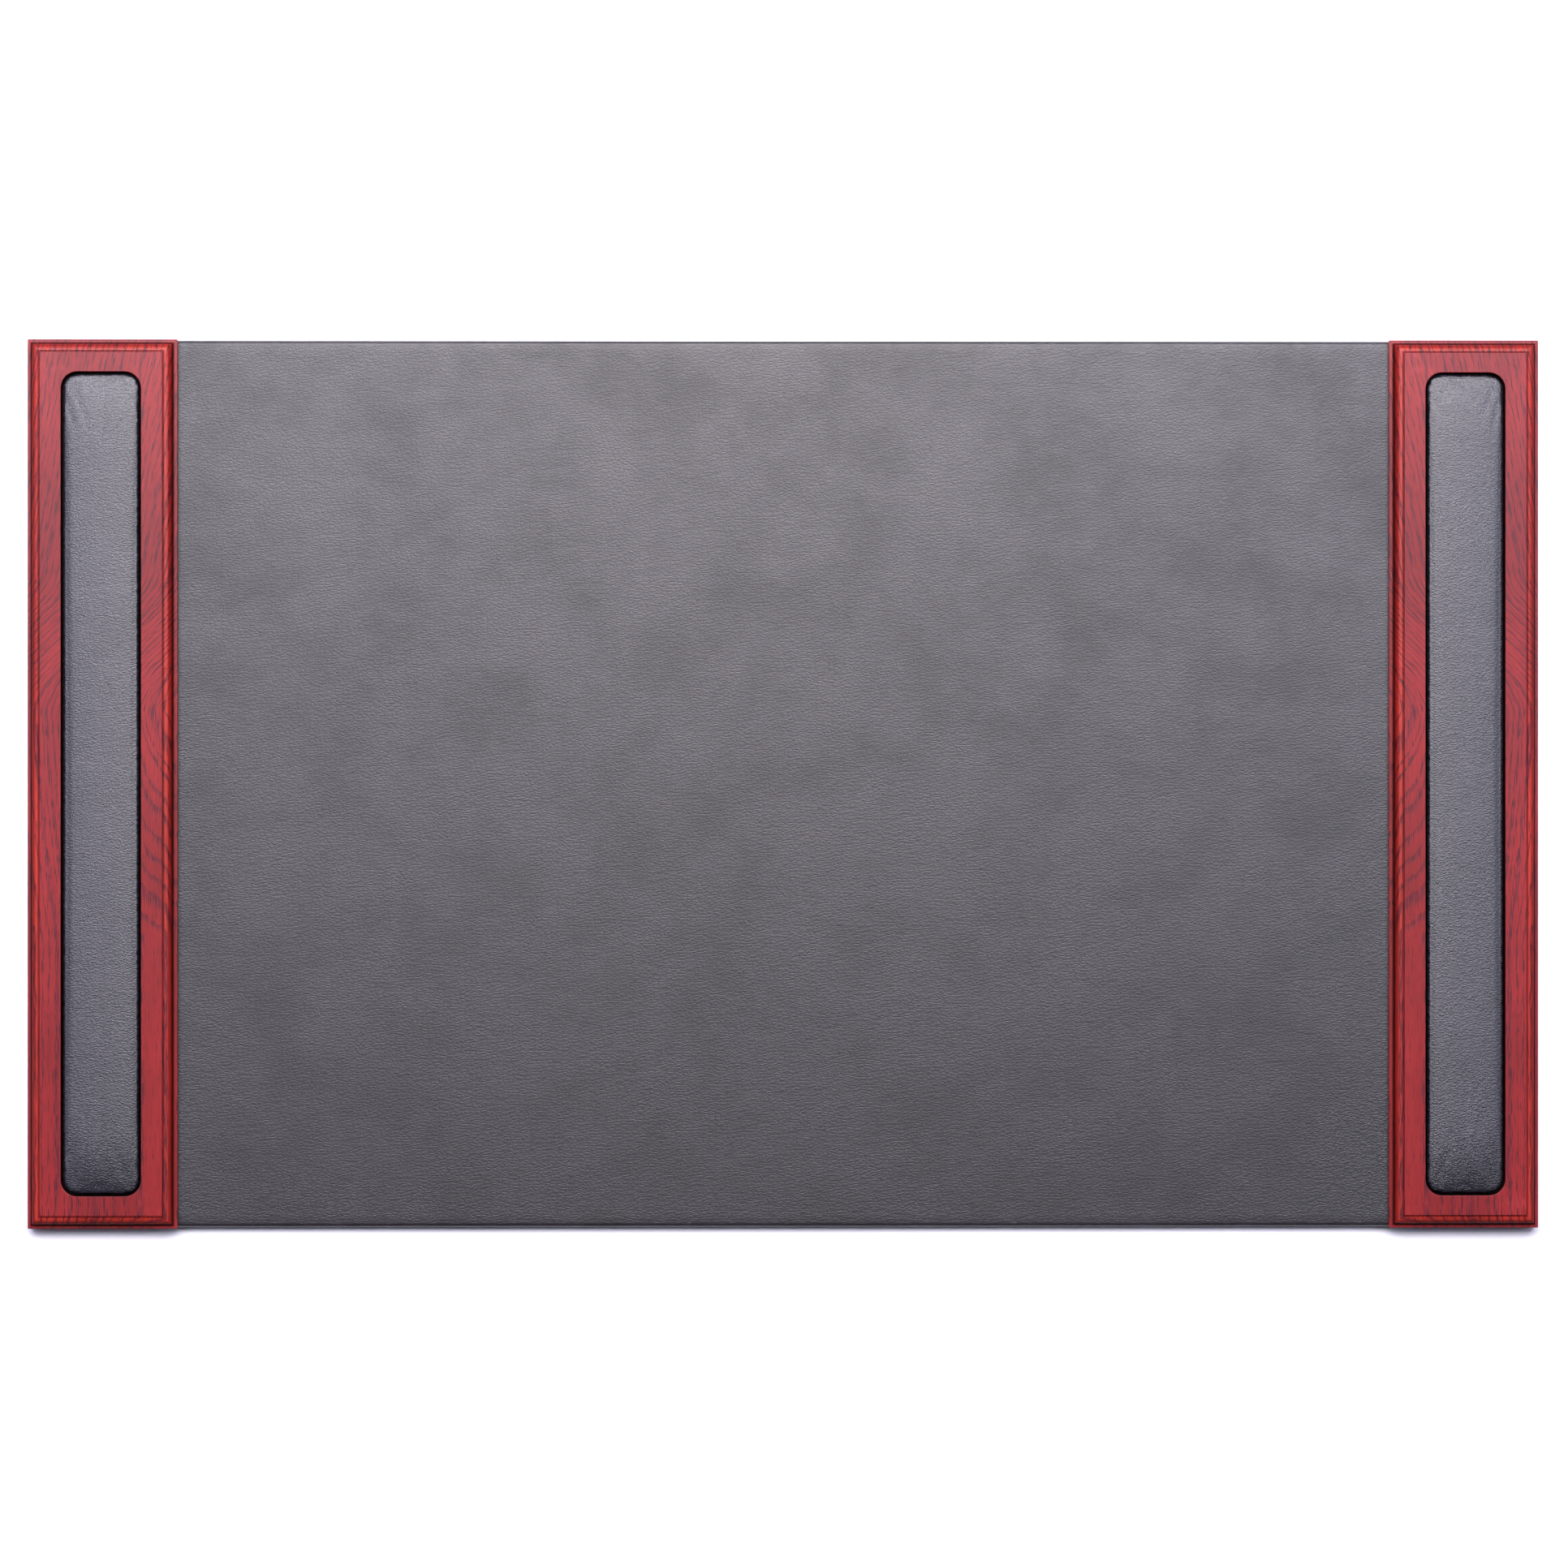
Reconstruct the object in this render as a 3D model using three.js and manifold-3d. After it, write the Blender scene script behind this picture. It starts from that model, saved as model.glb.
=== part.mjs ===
// Desk mat: a padded leather writing panel held between two moulded wooden side rails.
// Each rail has a long pocket in its top with a leather pad in it, and is screwed to the panel
// from below. Millimetres, +X to the right, +Y to the back, +Z up, lying on z = 0.
import * as THREE from 'three';
import { mergeVertices } from 'three/addons/utils/BufferGeometryUtils.js';
import Module from 'manifold-3d';

const wasm = await Module();
wasm.setup();

// ---- Driving dimensions ----

const MAT_WIDTH = 863.6; // 34 in
const MAT_DEPTH = 508; // 20 in

const RAIL_WIDTH = 85.4;
const RAIL_THICKNESS = 15.9; // 5/8 in board
const RAIL_OVERLAP = 18; // how far the panel's ends reach under the rails

const LEDGE_WIDTH = 1.7; // the flat at the foot of the moulding
const COVE_RADIUS = 1.4;
const ROUND_RADIUS = 4.6;
const QUIRK_WIDTH = 0.7; // the small step between the moulding and the flat top
const QUIRK_HEIGHT = 0.7;

const POCKET_WIDTH = 45.7;
const POCKET_LENGTH = 469.9; // 18 1/2 in
const POCKET_DEPTH = 7.7;
const POCKET_RADIUS = 9.5; // 3/8 in

const PAD_WIDTH = 43.3;
const PAD_LENGTH = 467.5;
const PAD_RADIUS = 8.3;
const PAD_CROWN = 2.2; // how far the pad stands above the wood
const PAD_ROUND_WIDTH = 4.5;
const PAD_ROUND_HEIGHT = 2.6;
const PAD_BOARD_THICKNESS = 3.2;

const FELT_THICKNESS = 1.2;
const BOARD_THICKNESS = 3.2; // 1/8 in hardboard
const FOAM_THICKNESS = 1.6;
const LEATHER_THICKNESS = 1.1;
const PANEL_SETBACK = 0.3; // the panel's front and back edges, in from the rails' ends
const PANEL_EDGE_RADIUS = 2.6;
const TURN_UNDER_RADIUS = 1;
const TURN_UNDER_WIDTH = 20; // the leather glued under the board's front and back edges
const TURN_UNDER_LIFT = 0.2;

const FELT_MARGIN = 2.5; // bare wood round a rail's felt
const FELT_END_MARGIN = 3; // bare board between the panel's felt and the rails
const FELT_SIDE_GAP = 1;

const SCREWS_PER_RAIL = 5;
const SCREW_PITCH = 110;
const SCREW_INSET = 10; // from a rail's inner edge
const SCREW_LENGTH = 12.7; // No. 6 countersunk, 1/2 in
const SCREW_RADIUS = 1.75;
const SCREW_HEAD_RADIUS = 3.45;
const SCREW_HEAD_HEIGHT = 2.1;
const SCREW_HEAD_RIM = 0.3;
const SCREW_TIP = 3.5;
const SCREW_SUNK = 0.2; // the head's face above the board's underside
const RECESS_LENGTH = 3.8;
const RECESS_WIDTH = 1.1;
const RECESS_DEPTH = 1.3;

const GLUE_LINE = 0.1;
const CLEARANCE = 0.2;
const CUT_MARGIN = 5; // how far a cutting solid runs past what it cuts
const ARC_STEPS = 4;
const BOARD_SIDES = 4;
const SCREW_SIDES = 16;

// ---- Heights and places that follow ----

const BOARD_BOTTOM = FELT_THICKNESS + GLUE_LINE;
const BOARD_TOP = BOARD_BOTTOM + BOARD_THICKNESS;
const FOAM_BOTTOM = BOARD_TOP + GLUE_LINE;
const FOAM_TOP = FOAM_BOTTOM + FOAM_THICKNESS;
const PANEL_TOP = FOAM_TOP + GLUE_LINE + LEATHER_THICKNESS;

const RAIL_BOTTOM = BOARD_BOTTOM;
const RAIL_TOP = RAIL_BOTTOM + RAIL_THICKNESS;
const RAIL_CENTRE_X = (MAT_WIDTH - RAIL_WIDTH) / 2;
const RAIL_INNER_X = MAT_WIDTH / 2 - RAIL_WIDTH;
const REBATE_TOP = PANEL_TOP + CLEARANCE;
const POCKET_FLOOR = RAIL_TOP - POCKET_DEPTH;
const MOULDING_FOOT = RAIL_TOP - QUIRK_HEIGHT - ROUND_RADIUS - COVE_RADIUS;

const PANEL_HALF_DEPTH = MAT_DEPTH / 2 - PANEL_SETBACK;
const CORE_HALF_DEPTH = PANEL_HALF_DEPTH - LEATHER_THICKNESS - GLUE_LINE;
const CORE_EDGE_RADIUS = PANEL_EDGE_RADIUS - LEATHER_THICKNESS;
const PANEL_LENGTH = 2 * (RAIL_INNER_X + RAIL_OVERLAP - CLEARANCE);

const PAD_TOP = RAIL_TOP + PAD_CROWN;
const PAD_BOTTOM = POCKET_FLOOR + GLUE_LINE;
const PAD_BOARD_TOP = PAD_BOTTOM + PAD_BOARD_THICKNESS;
const PAD_CORE_INSET = LEATHER_THICKNESS + GLUE_LINE;

const SCREW_FACE = BOARD_BOTTOM + SCREW_SUNK;
const SCREW_X = RAIL_INNER_X + SCREW_INSET;

const SIDES = [
  { name: 'left', sign: -1 },
  { name: 'right', sign: 1 },
];

// ---- Materials ----

function finish(color, roughness, metalness = 0) {
  return new THREE.MeshStandardMaterial({ color, roughness, metalness });
}

const STAINED_OAK = finish(0x9c4442, 0.35);
const PANEL_LEATHER = finish(0x4a494d, 0.55);
const PAD_LEATHER = finish(0x4f4e57, 0.5);
const HARDBOARD = finish(0x7a5a3c, 0.8);
const FOAM = finish(0xd9d2bd, 0.95);
const FELT = finish(0x1d1d20, 1);
const ZINC_STEEL = finish(0xb9bcc0, 0.35, 1);

// ---- Solids ----

// The closed solid that a geometry bounds.
function solidOf(geometry) {
  const bare = geometry.clone();
  bare.deleteAttribute('normal');
  bare.deleteAttribute('uv');
  const merged = mergeVertices(bare);
  const vertProperties = new Float32Array(merged.attributes.position.array);
  const triVerts = new Uint32Array(merged.index.array);
  return new wasm.Manifold(new wasm.Mesh({ numProp: 3, vertProperties, triVerts }));
}

function geometryOf(solid) {
  const { vertProperties, triVerts } = solid.getMesh();
  const geometry = new THREE.BufferGeometry();
  geometry.setAttribute('position', new THREE.BufferAttribute(vertProperties, 3));
  geometry.setIndex(new THREE.BufferAttribute(triVerts, 1));
  return geometry;
}

function cut(solid, cutters) {
  return cutters.reduce((rest, cutter) => rest.subtract(cutter), solid);
}

// A box centred on (x, y), from bottom to top.
function block(width, depth, bottom, top, x = 0, y = 0) {
  const box = new THREE.BoxGeometry(width, depth, top - bottom);
  return solidOf(box.translate(x, y, (bottom + top) / 2));
}

// A rectangle centred on the origin with rounded corners.
function roundedRectangle(width, length, radius) {
  const [x, y] = [width / 2 - radius, length / 2 - radius];
  return new THREE.Shape()
    .absarc(x, y, radius, 0, Math.PI / 2)
    .absarc(-x, y, radius, Math.PI / 2, Math.PI)
    .absarc(-x, -y, radius, Math.PI, 1.5 * Math.PI)
    .absarc(x, -y, radius, 1.5 * Math.PI, 2 * Math.PI);
}

function plate(outline, bottom, top, x = 0) {
  const options = { depth: top - bottom, bevelEnabled: false, curveSegments: ARC_STEPS };
  return solidOf(new THREE.ExtrudeGeometry(outline, options).translate(x, 0, bottom));
}

// A section across the panel, drawn in (y, z) and run along X, centred on x = 0.
function runAlongX(section, length) {
  const options = { depth: length, bevelEnabled: false, curveSegments: ARC_STEPS };
  const bar = new THREE.ExtrudeGeometry(section, options);
  bar.rotateX(Math.PI / 2).rotateZ(Math.PI / 2);
  return solidOf(bar.translate(-length / 2, 0, 0));
}

// A panel section with rounded upper and lower edges.
function panelSection(halfDepth, bottom, top, lowerRadius, upperRadius) {
  const section = new THREE.Shape();
  const low = halfDepth - lowerRadius;
  const high = halfDepth - upperRadius;
  section.moveTo(-low, bottom);
  section.lineTo(low, bottom);
  if (lowerRadius > 0) section.absarc(low, bottom + lowerRadius, lowerRadius, -Math.PI / 2, 0);
  section.lineTo(halfDepth, top - upperRadius);
  section.absarc(high, top - upperRadius, upperRadius, 0, Math.PI / 2);
  section.lineTo(-high, top);
  section.absarc(-high, top - upperRadius, upperRadius, Math.PI / 2, Math.PI);
  section.lineTo(-halfDepth, bottom + lowerRadius);
  if (lowerRadius > 0) section.absarc(-low, bottom + lowerRadius, lowerRadius, Math.PI, 1.5 * Math.PI);
  return section;
}

// ---- Screws ----

// A countersunk screw pointing up, grown by a clearance and with its head run down by a drop.
function screwForm(clearance, drop) {
  const head = SCREW_HEAD_RADIUS + clearance;
  const shank = SCREW_RADIUS + clearance;
  const profile = [
    new THREE.Vector2(0, SCREW_FACE - drop),
    new THREE.Vector2(head, SCREW_FACE - drop),
    new THREE.Vector2(head, SCREW_FACE + SCREW_HEAD_RIM),
    new THREE.Vector2(shank, SCREW_FACE + SCREW_HEAD_HEIGHT),
    new THREE.Vector2(shank, SCREW_FACE + SCREW_LENGTH - SCREW_TIP),
    new THREE.Vector2(0, SCREW_FACE + SCREW_LENGTH + clearance),
  ];
  return solidOf(new THREE.LatheGeometry(profile, SCREW_SIDES).rotateX(Math.PI / 2));
}

function screwPlaces(sign) {
  const first = -SCREW_PITCH * (SCREWS_PER_RAIL - 1) / 2;
  return Array.from({ length: SCREWS_PER_RAIL }, (_, i) => [sign * SCREW_X, first + i * SCREW_PITCH]);
}

const SCREW_CUTTER = screwForm(CLEARANCE, CUT_MARGIN);

function screwCutters(sign) {
  return screwPlaces(sign).map(([x, y]) => SCREW_CUTTER.translate([x, y, 0]));
}

const ALL_SCREW_CUTTERS = SIDES.flatMap(({ sign }) => screwCutters(sign));

function screwSolid() {
  const bottom = SCREW_FACE - CUT_MARGIN;
  const top = SCREW_FACE + RECESS_DEPTH;
  const slots = [
    block(RECESS_LENGTH, RECESS_WIDTH, bottom, top),
    block(RECESS_WIDTH, RECESS_LENGTH, bottom, top),
  ];
  return cut(screwForm(0, 0), slots);
}

// ---- Writing panel ----

function baseBoard() {
  const board = block(PANEL_LENGTH, 2 * CORE_HALF_DEPTH, BOARD_BOTTOM, BOARD_TOP);
  return cut(board, ALL_SCREW_CUTTERS);
}

function foamLayer() {
  const radius = CORE_EDGE_RADIUS - GLUE_LINE;
  const section = panelSection(CORE_HALF_DEPTH, FOAM_BOTTOM, FOAM_TOP, 0, radius);
  return cut(runAlongX(section, PANEL_LENGTH), ALL_SCREW_CUTTERS);
}

// The skin over the top and both long edges, turned under the board and open below.
function leatherSurface() {
  const outer = panelSection(
    PANEL_HALF_DEPTH, TURN_UNDER_LIFT, PANEL_TOP, TURN_UNDER_RADIUS, PANEL_EDGE_RADIUS,
  );
  const inner = panelSection(
    CORE_HALF_DEPTH + GLUE_LINE, BOARD_BOTTOM - GLUE_LINE, FOAM_TOP + GLUE_LINE, 0, CORE_EDGE_RADIUS,
  );
  const skin = runAlongX(outer, PANEL_LENGTH);
  const core = runAlongX(inner, PANEL_LENGTH + 2 * CUT_MARGIN);
  const openDepth = 2 * (PANEL_HALF_DEPTH - TURN_UNDER_WIDTH);
  const opening = block(PANEL_LENGTH + 2 * CUT_MARGIN, openDepth, -CUT_MARGIN, BOARD_TOP);
  return cut(skin, [core, opening, ...ALL_SCREW_CUTTERS]);
}

function feltBacking() {
  const width = 2 * (RAIL_INNER_X - FELT_END_MARGIN);
  const depth = 2 * (PANEL_HALF_DEPTH - TURN_UNDER_WIDTH - FELT_SIDE_GAP);
  return block(width, depth, 0, FELT_THICKNESS);
}

// ---- Side rails ----

// A rail's section from the middle of its back up to the middle of its flat top, as a radius
// that stands for the distance from its long axis.
function mouldedProfile() {
  const edge = RAIL_WIDTH / 2;
  const coveTop = MOULDING_FOOT + COVE_RADIUS;
  const roundEdge = edge - LEDGE_WIDTH - COVE_RADIUS;
  const flatEdge = roundEdge - ROUND_RADIUS;
  const profile = new THREE.Path();
  profile.moveTo(0, RAIL_BOTTOM);
  profile.lineTo(edge, RAIL_BOTTOM);
  profile.lineTo(edge, MOULDING_FOOT);
  profile.absarc(edge - LEDGE_WIDTH, coveTop, COVE_RADIUS, 1.5 * Math.PI, Math.PI, true);
  profile.absarc(flatEdge, coveTop, ROUND_RADIUS, 0, Math.PI / 2);
  profile.lineTo(flatEdge - QUIRK_WIDTH / 2, RAIL_TOP - QUIRK_HEIGHT);
  profile.lineTo(flatEdge - QUIRK_WIDTH, RAIL_TOP);
  profile.lineTo(0, RAIL_TOP);
  return profile.getPoints(ARC_STEPS);
}

// A board moulded alike on all four edges, with mitred corners: a four-sided turning of the
// profile, stretched along Y to the rail's length.
function mouldedBoard(x) {
  const profile = mouldedProfile().map((p) => new THREE.Vector2(Math.SQRT2 * p.x, p.y));
  const board = new THREE.LatheGeometry(profile, BOARD_SIDES, Math.PI / BOARD_SIDES);
  board.rotateX(Math.PI / 2);
  const corners = board.attributes.position;
  const stretch = (MAT_DEPTH - RAIL_WIDTH) / 2;
  for (let i = 0; i < corners.count; i += 1) {
    const y = corners.getY(i);
    corners.setY(i, y + Math.sign(y) * stretch);
  }
  return solidOf(board.translate(x, 0, 0));
}

function rail(sign) {
  const x = sign * RAIL_CENTRE_X;
  const rebateWidth = RAIL_OVERLAP + CUT_MARGIN;
  const rebateX = sign * (RAIL_INNER_X + (RAIL_OVERLAP - CUT_MARGIN) / 2);
  const rebate = block(
    rebateWidth, MAT_DEPTH + 2 * CUT_MARGIN, RAIL_BOTTOM - CUT_MARGIN, REBATE_TOP, rebateX,
  );
  const pocketOutline = roundedRectangle(POCKET_WIDTH, POCKET_LENGTH, POCKET_RADIUS);
  const pocket = plate(pocketOutline, POCKET_FLOOR, RAIL_TOP + CUT_MARGIN, x);
  return cut(mouldedBoard(x), [rebate, pocket, ...screwCutters(sign)]);
}

function railFelt(sign) {
  const inner = RAIL_INNER_X + RAIL_OVERLAP + FELT_MARGIN;
  const outer = MAT_WIDTH / 2 - FELT_MARGIN;
  const depth = MAT_DEPTH - 2 * FELT_MARGIN;
  return block(outer - inner, depth, 0, FELT_THICKNESS, sign * (inner + outer) / 2);
}

// ---- Leather pads in the rails ----

function padOutline(inset) {
  return roundedRectangle(PAD_WIDTH - 2 * inset, PAD_LENGTH - 2 * inset, PAD_RADIUS - inset);
}

// The pad's form shrunk by an inset: upright sides, and a soft rounded edge up to a low crown.
function padForm(inset, bottom) {
  const roundWidth = PAD_ROUND_WIDTH - inset;
  const low = POCKET_FLOOR - CUT_MARGIN;
  const high = PAD_TOP - inset - PAD_ROUND_HEIGHT;
  const options = {
    depth: high - low,
    bevelSize: roundWidth,
    bevelOffset: -roundWidth,
    bevelThickness: PAD_ROUND_HEIGHT,
    bevelSegments: ARC_STEPS,
    curveSegments: ARC_STEPS,
  };
  const form = new THREE.ExtrudeGeometry(padOutline(inset), options).translate(0, 0, low);
  const waste = block(2 * PAD_WIDTH, 2 * PAD_LENGTH, low - 2 * CUT_MARGIN, bottom);
  return cut(solidOf(form), [waste]);
}

function padPieces(x) {
  const cover = cut(padForm(0, PAD_BOTTOM), [padForm(LEATHER_THICKNESS, PAD_BOTTOM - CUT_MARGIN)]);
  return {
    board: plate(padOutline(PAD_CORE_INSET), PAD_BOTTOM, PAD_BOARD_TOP, x),
    foam: padForm(PAD_CORE_INSET, PAD_BOARD_TOP + GLUE_LINE).translate([x, 0, 0]),
    leather: cover.translate([x, 0, 0]),
  };
}

// ---- Assembly ----

const deskMat = new THREE.Group();

function addPiece(name, solid, material, x = 0, y = 0) {
  const mesh = new THREE.Mesh(geometryOf(solid), material.clone());
  mesh.name = name;
  mesh.position.set(x, y, 0);
  deskMat.add(mesh);
}

addPiece('base_board', baseBoard(), HARDBOARD);
addPiece('foam_layer', foamLayer(), FOAM);
addPiece('leather_surface', leatherSurface(), PANEL_LEATHER);
addPiece('felt_backing', feltBacking(), FELT);

for (const { name, sign } of SIDES) {
  const pad = padPieces(sign * RAIL_CENTRE_X);
  addPiece(`${name}_rail`, rail(sign), STAINED_OAK);
  addPiece(`${name}_rail_felt`, railFelt(sign), FELT);
  addPiece(`${name}_insert_board`, pad.board, HARDBOARD);
  addPiece(`${name}_insert_foam`, pad.foam, FOAM);
  addPiece(`${name}_insert_leather`, pad.leather, PAD_LEATHER);
  screwPlaces(sign).forEach(([x, y], i) => {
    addPiece(`${name}_screw_${i + 1}`, screwSolid(), ZINC_STEEL, x, y);
  });
}

export default deskMat;
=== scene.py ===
"""A desk mat with two moulded wooden rails, laid out as an add-on and run as a script.

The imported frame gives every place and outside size. Each operator makes one piece or one
group of like pieces around it, in metres.
"""

import math

import bmesh
import bpy
import numpy as np
from bpy.props import FloatProperty, FloatVectorProperty, PointerProperty
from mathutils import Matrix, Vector, noise


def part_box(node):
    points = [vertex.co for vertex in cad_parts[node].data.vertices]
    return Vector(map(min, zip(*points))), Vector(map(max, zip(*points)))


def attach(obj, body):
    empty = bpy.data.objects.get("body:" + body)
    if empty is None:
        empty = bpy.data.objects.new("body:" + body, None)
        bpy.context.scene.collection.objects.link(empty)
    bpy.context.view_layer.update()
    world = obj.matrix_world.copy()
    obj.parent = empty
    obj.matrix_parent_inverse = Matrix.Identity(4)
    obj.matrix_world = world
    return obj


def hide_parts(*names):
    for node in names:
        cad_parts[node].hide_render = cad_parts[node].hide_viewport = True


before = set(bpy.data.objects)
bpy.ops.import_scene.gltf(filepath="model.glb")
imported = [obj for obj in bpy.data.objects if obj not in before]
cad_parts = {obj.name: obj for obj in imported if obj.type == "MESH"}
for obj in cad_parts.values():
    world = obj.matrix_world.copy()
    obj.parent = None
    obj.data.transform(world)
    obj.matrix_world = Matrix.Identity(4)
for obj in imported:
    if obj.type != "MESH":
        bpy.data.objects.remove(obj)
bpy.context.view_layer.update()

bl_info = {
    "name": "Desk Mat",
    "version": (1, 0, 0),
    "blender": (4, 5, 0),
    "location": "3D View > Sidebar > Desk Mat",
    "description": "Makes a leather desk mat with moulded wooden rails around its frame",
    "category": "Add Mesh",
}

MM = 0.001
SIDES = (("left", -1), ("right", 1))
SCREWS_PER_RAIL = 5
TAU = 2 * math.pi


# ---- Sizes and colours ----


def length(name, description, millimetres):
    return FloatProperty(
        name=name,
        description=description,
        default=millimetres * MM,
        min=0,
        unit="LENGTH",
        precision=5,
    )


def amount(name, description, default):
    return FloatProperty(name=name, description=description, default=default, min=0)


def colour(name, description, default):
    return FloatVectorProperty(
        name=name,
        description=description,
        default=default,
        min=0,
        max=1,
        subtype="COLOR",
    )


class RailSettings(bpy.types.PropertyGroup):
    ledge_width: length("Ledge Width", "Flat at the foot of the moulding", 1.3)
    cove_radius: length("Cove Radius", "Hollow above the ledge", 1.4)
    round_radius: length("Round Radius", "Swell above the hollow", 4.6)
    quirk: length("Quirk", "Small step up to the flat top", 0.7)
    easing: length("Easing", "Rounding sanded onto the outside edges", 0.3)
    pocket_easing: length("Pocket Easing", "Rounding of the pocket's edge", 0.22)
    pocket_width: length("Pocket Width", "Pocket in the rail's top, across", 45.7)
    pocket_length: length("Pocket Length", "Pocket in the rail's top, along", 469.9)
    pocket_radius: length("Pocket Radius", "Corners of the pocket", 9.5)
    pocket_depth: length("Pocket Depth", "Pocket floor below the flat top", 7.7)
    overlap: length("Overlap", "How far the rail covers the panel's end", 18)
    stain: colour("Stain", "Red stain on the plain wood", (0.172, 0.0105, 0.0105))
    # The moulding's stain is warmer and lighter than the flat's: a deeper red, with a painted
    # highlight on the round.
    moulding_stain_and_highlight: colour("Bright Stain", "Warmer stain on the moulding", (0.27, 0.021, 0.012))
    streak: colour("Streak", "Stain in the open, porous rings", (0.15, 0.012, 0.017))
    pore: colour("Pore", "Stain left in the pores", (0.05, 0.006, 0.009))


class PanelSettings(bpy.types.PropertyGroup):
    leather_thickness: length("Leather Thickness", "Skin of the writing panel", 1.1)
    edge_radius: length("Edge Radius", "Turned front and back edges, above", 2.6)
    lower_radius: length("Lower Radius", "Turned front and back edges, below", 1)
    turn_under: length("Turn Under", "Leather glued under the board's edges", 20)
    swell: length("Swell", "Height of the slow waves in the surface", 0.13)
    leather: colour("Leather", "Dyed leather of the panel", (0.013, 0.012, 0.0135))


class PadSettings(bpy.types.PropertyGroup):
    corner_radius: length("Corner Radius", "Corners of a pad", 8.3)
    leather_thickness: length("Leather Thickness", "Cover of a pad", 1)
    voxel: length("Voxel", "Mesh size while the cover is filled", 1.6)
    cap: length("Cap", "The furthest that filling may move a point", 0.75)
    slack: length("Slack", "How far the empty cover's sides stand in", 0.1)
    droop: length("Droop", "How far the empty cover's top stands low", 0.55)
    round_width: length("Round Width", "Rounding of the top's edges, across", 1.1)
    round_height: length("Round Height", "Rounding of the top's edges, up", 1.1)
    crown: length("Crown", "Rise from the rounded edges to the middle", 0.9)
    end_slope: length("End Slope", "How far the ends slope down", 2)
    end_reach: length("End Reach", "How long the sloping ends are", 34)
    foam_inset: length("Foam Inset", "Foam inside the cover's outer face", 1.2)
    gather_spacing: length("Gather Spacing", "Small folds round the sides, apart", 2.4)
    gather_depth: length("Gather Depth", "Depth of the small folds", 0.34)
    lump: length("Lump", "Unevenness of the foam", 0.16)
    pressure: amount("Pressure", "Pressure that fills the cover", 4)
    leather: colour("Leather", "Dyed leather of the pads", (0.009, 0.0085, 0.012))


class FeltSettings(bpy.types.PropertyGroup):
    wobble: length("Wobble", "Unevenness of the cut edges", 0.18)
    felt: colour("Felt", "Wool felt of the underside", (0.012, 0.012, 0.014))


class ScrewSettings(bpy.types.PropertyGroup):
    head_radius: length("Head Radius", "Countersunk head", 3.45)
    head_height: length("Head Height", "Face to shank", 2.1)
    shank_radius: length("Shank Radius", "Outside of the thread", 1.75)
    root_radius: length("Root Radius", "Bottom of the thread", 1.2)
    thread_pitch: length("Thread Pitch", "Turn to turn", 1.41)
    tip: length("Tip", "Tapered end", 3.5)
    recess_reach: length("Recess Reach", "Half the length of the cross recess", 1.95)
    recess_width: length("Recess Width", "Half the width of its arms", 0.5)
    recess_depth: length("Recess Depth", "Depth of the cross recess", 1.3)


class StageSettings(bpy.types.PropertyGroup):
    camera_height: length("Camera Height", "Camera above the floor", 2500)
    camera_shift: length("Camera Shift", "Camera to the left of the middle", 20)
    view_width: length("View Width", "Width in view at the rails' height", 894)
    floor: colour("Floor", "Plain floor", (0.76, 0.76, 0.77))


SETTINGS = {
    "desk_mat_rails": RailSettings,
    "desk_mat_panel": PanelSettings,
    "desk_mat_pads": PadSettings,
    "desk_mat_felt": FeltSettings,
    "desk_mat_screws": ScrewSettings,
    "desk_mat_stage": StageSettings,
}


# ---- Mesh helpers ----


def mesh_from(name, points, faces):
    mesh = bpy.data.meshes.new(name)
    mesh.from_pydata([tuple(p) for p in points], [], faces)
    mesh.update()
    return mesh


def add_object(name, mesh):
    piece = bpy.data.objects.new(name, mesh)
    bpy.context.scene.collection.objects.link(piece)
    return piece


def bake_modifiers(piece):
    """Turns the piece with its modifiers into a plain mesh."""
    graph = bpy.context.evaluated_depsgraph_get()
    mesh = bpy.data.meshes.new_from_object(piece.evaluated_get(graph))
    mesh.name = piece.name
    piece.modifiers.clear()
    piece.data = mesh


def shade(mesh, sharp_degrees=35):
    mesh.polygons.foreach_set("use_smooth", [True] * len(mesh.polygons))
    mesh.set_sharp_from_angle(angle=math.radians(sharp_degrees))


def finish_piece(piece, material, slot, *nodes):
    """Gives a made piece its material and body, and hides the nodes it stands for. The slot is not
    used.
    """
    piece.data.materials.clear()
    piece.data.materials.append(material)
    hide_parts(*nodes)
    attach(piece, "root")


def coordinates(mesh):
    flat = np.empty(3 * len(mesh.vertices))
    mesh.vertices.foreach_get("co", flat)
    return flat.reshape(-1, 3)


def set_coordinates(mesh, points):
    mesh.vertices.foreach_set("co", points.ravel())
    mesh.update()


def loft(rings):
    """Joins rings of equally many points, anticlockwise from above, underside first, with caps."""
    count = len(rings[0])
    faces = [
        (
            row * count + i,
            row * count + (i + 1) % count,
            (row + 1) * count + (i + 1) % count,
            (row + 1) * count + i,
        )
        for row in range(len(rings) - 1)
        for i in range(count)
    ]
    faces.append(tuple(reversed(range(count))))
    faces.append(tuple(range((len(rings) - 1) * count, len(rings) * count)))
    return [p for ring in rings for p in ring], faces


def arc(centre, radius, start, end, steps):
    """Points on an arc in a plane, angles in degrees, both ends included."""
    angles = [math.radians(start + (end - start) * i / steps) for i in range(steps + 1)]
    return [
        (centre[0] + radius * math.cos(a), centre[1] + radius * math.sin(a))
        for a in angles
    ]


def smooth_step(value, low, high):
    t = np.clip((value - low) / (high - low), 0, 1)
    return t * t * (3 - 2 * t)


def slow_noise(points, scale, seed):
    """Smooth noise from -1 to 1 at each point, with features of about that scale."""
    shift = Vector((seed * 17.3, seed * 5.1, seed * 9.7))
    return np.array([noise.noise(Vector(p) / scale + shift) for p in points])


# ---- Node helpers ----


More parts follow.
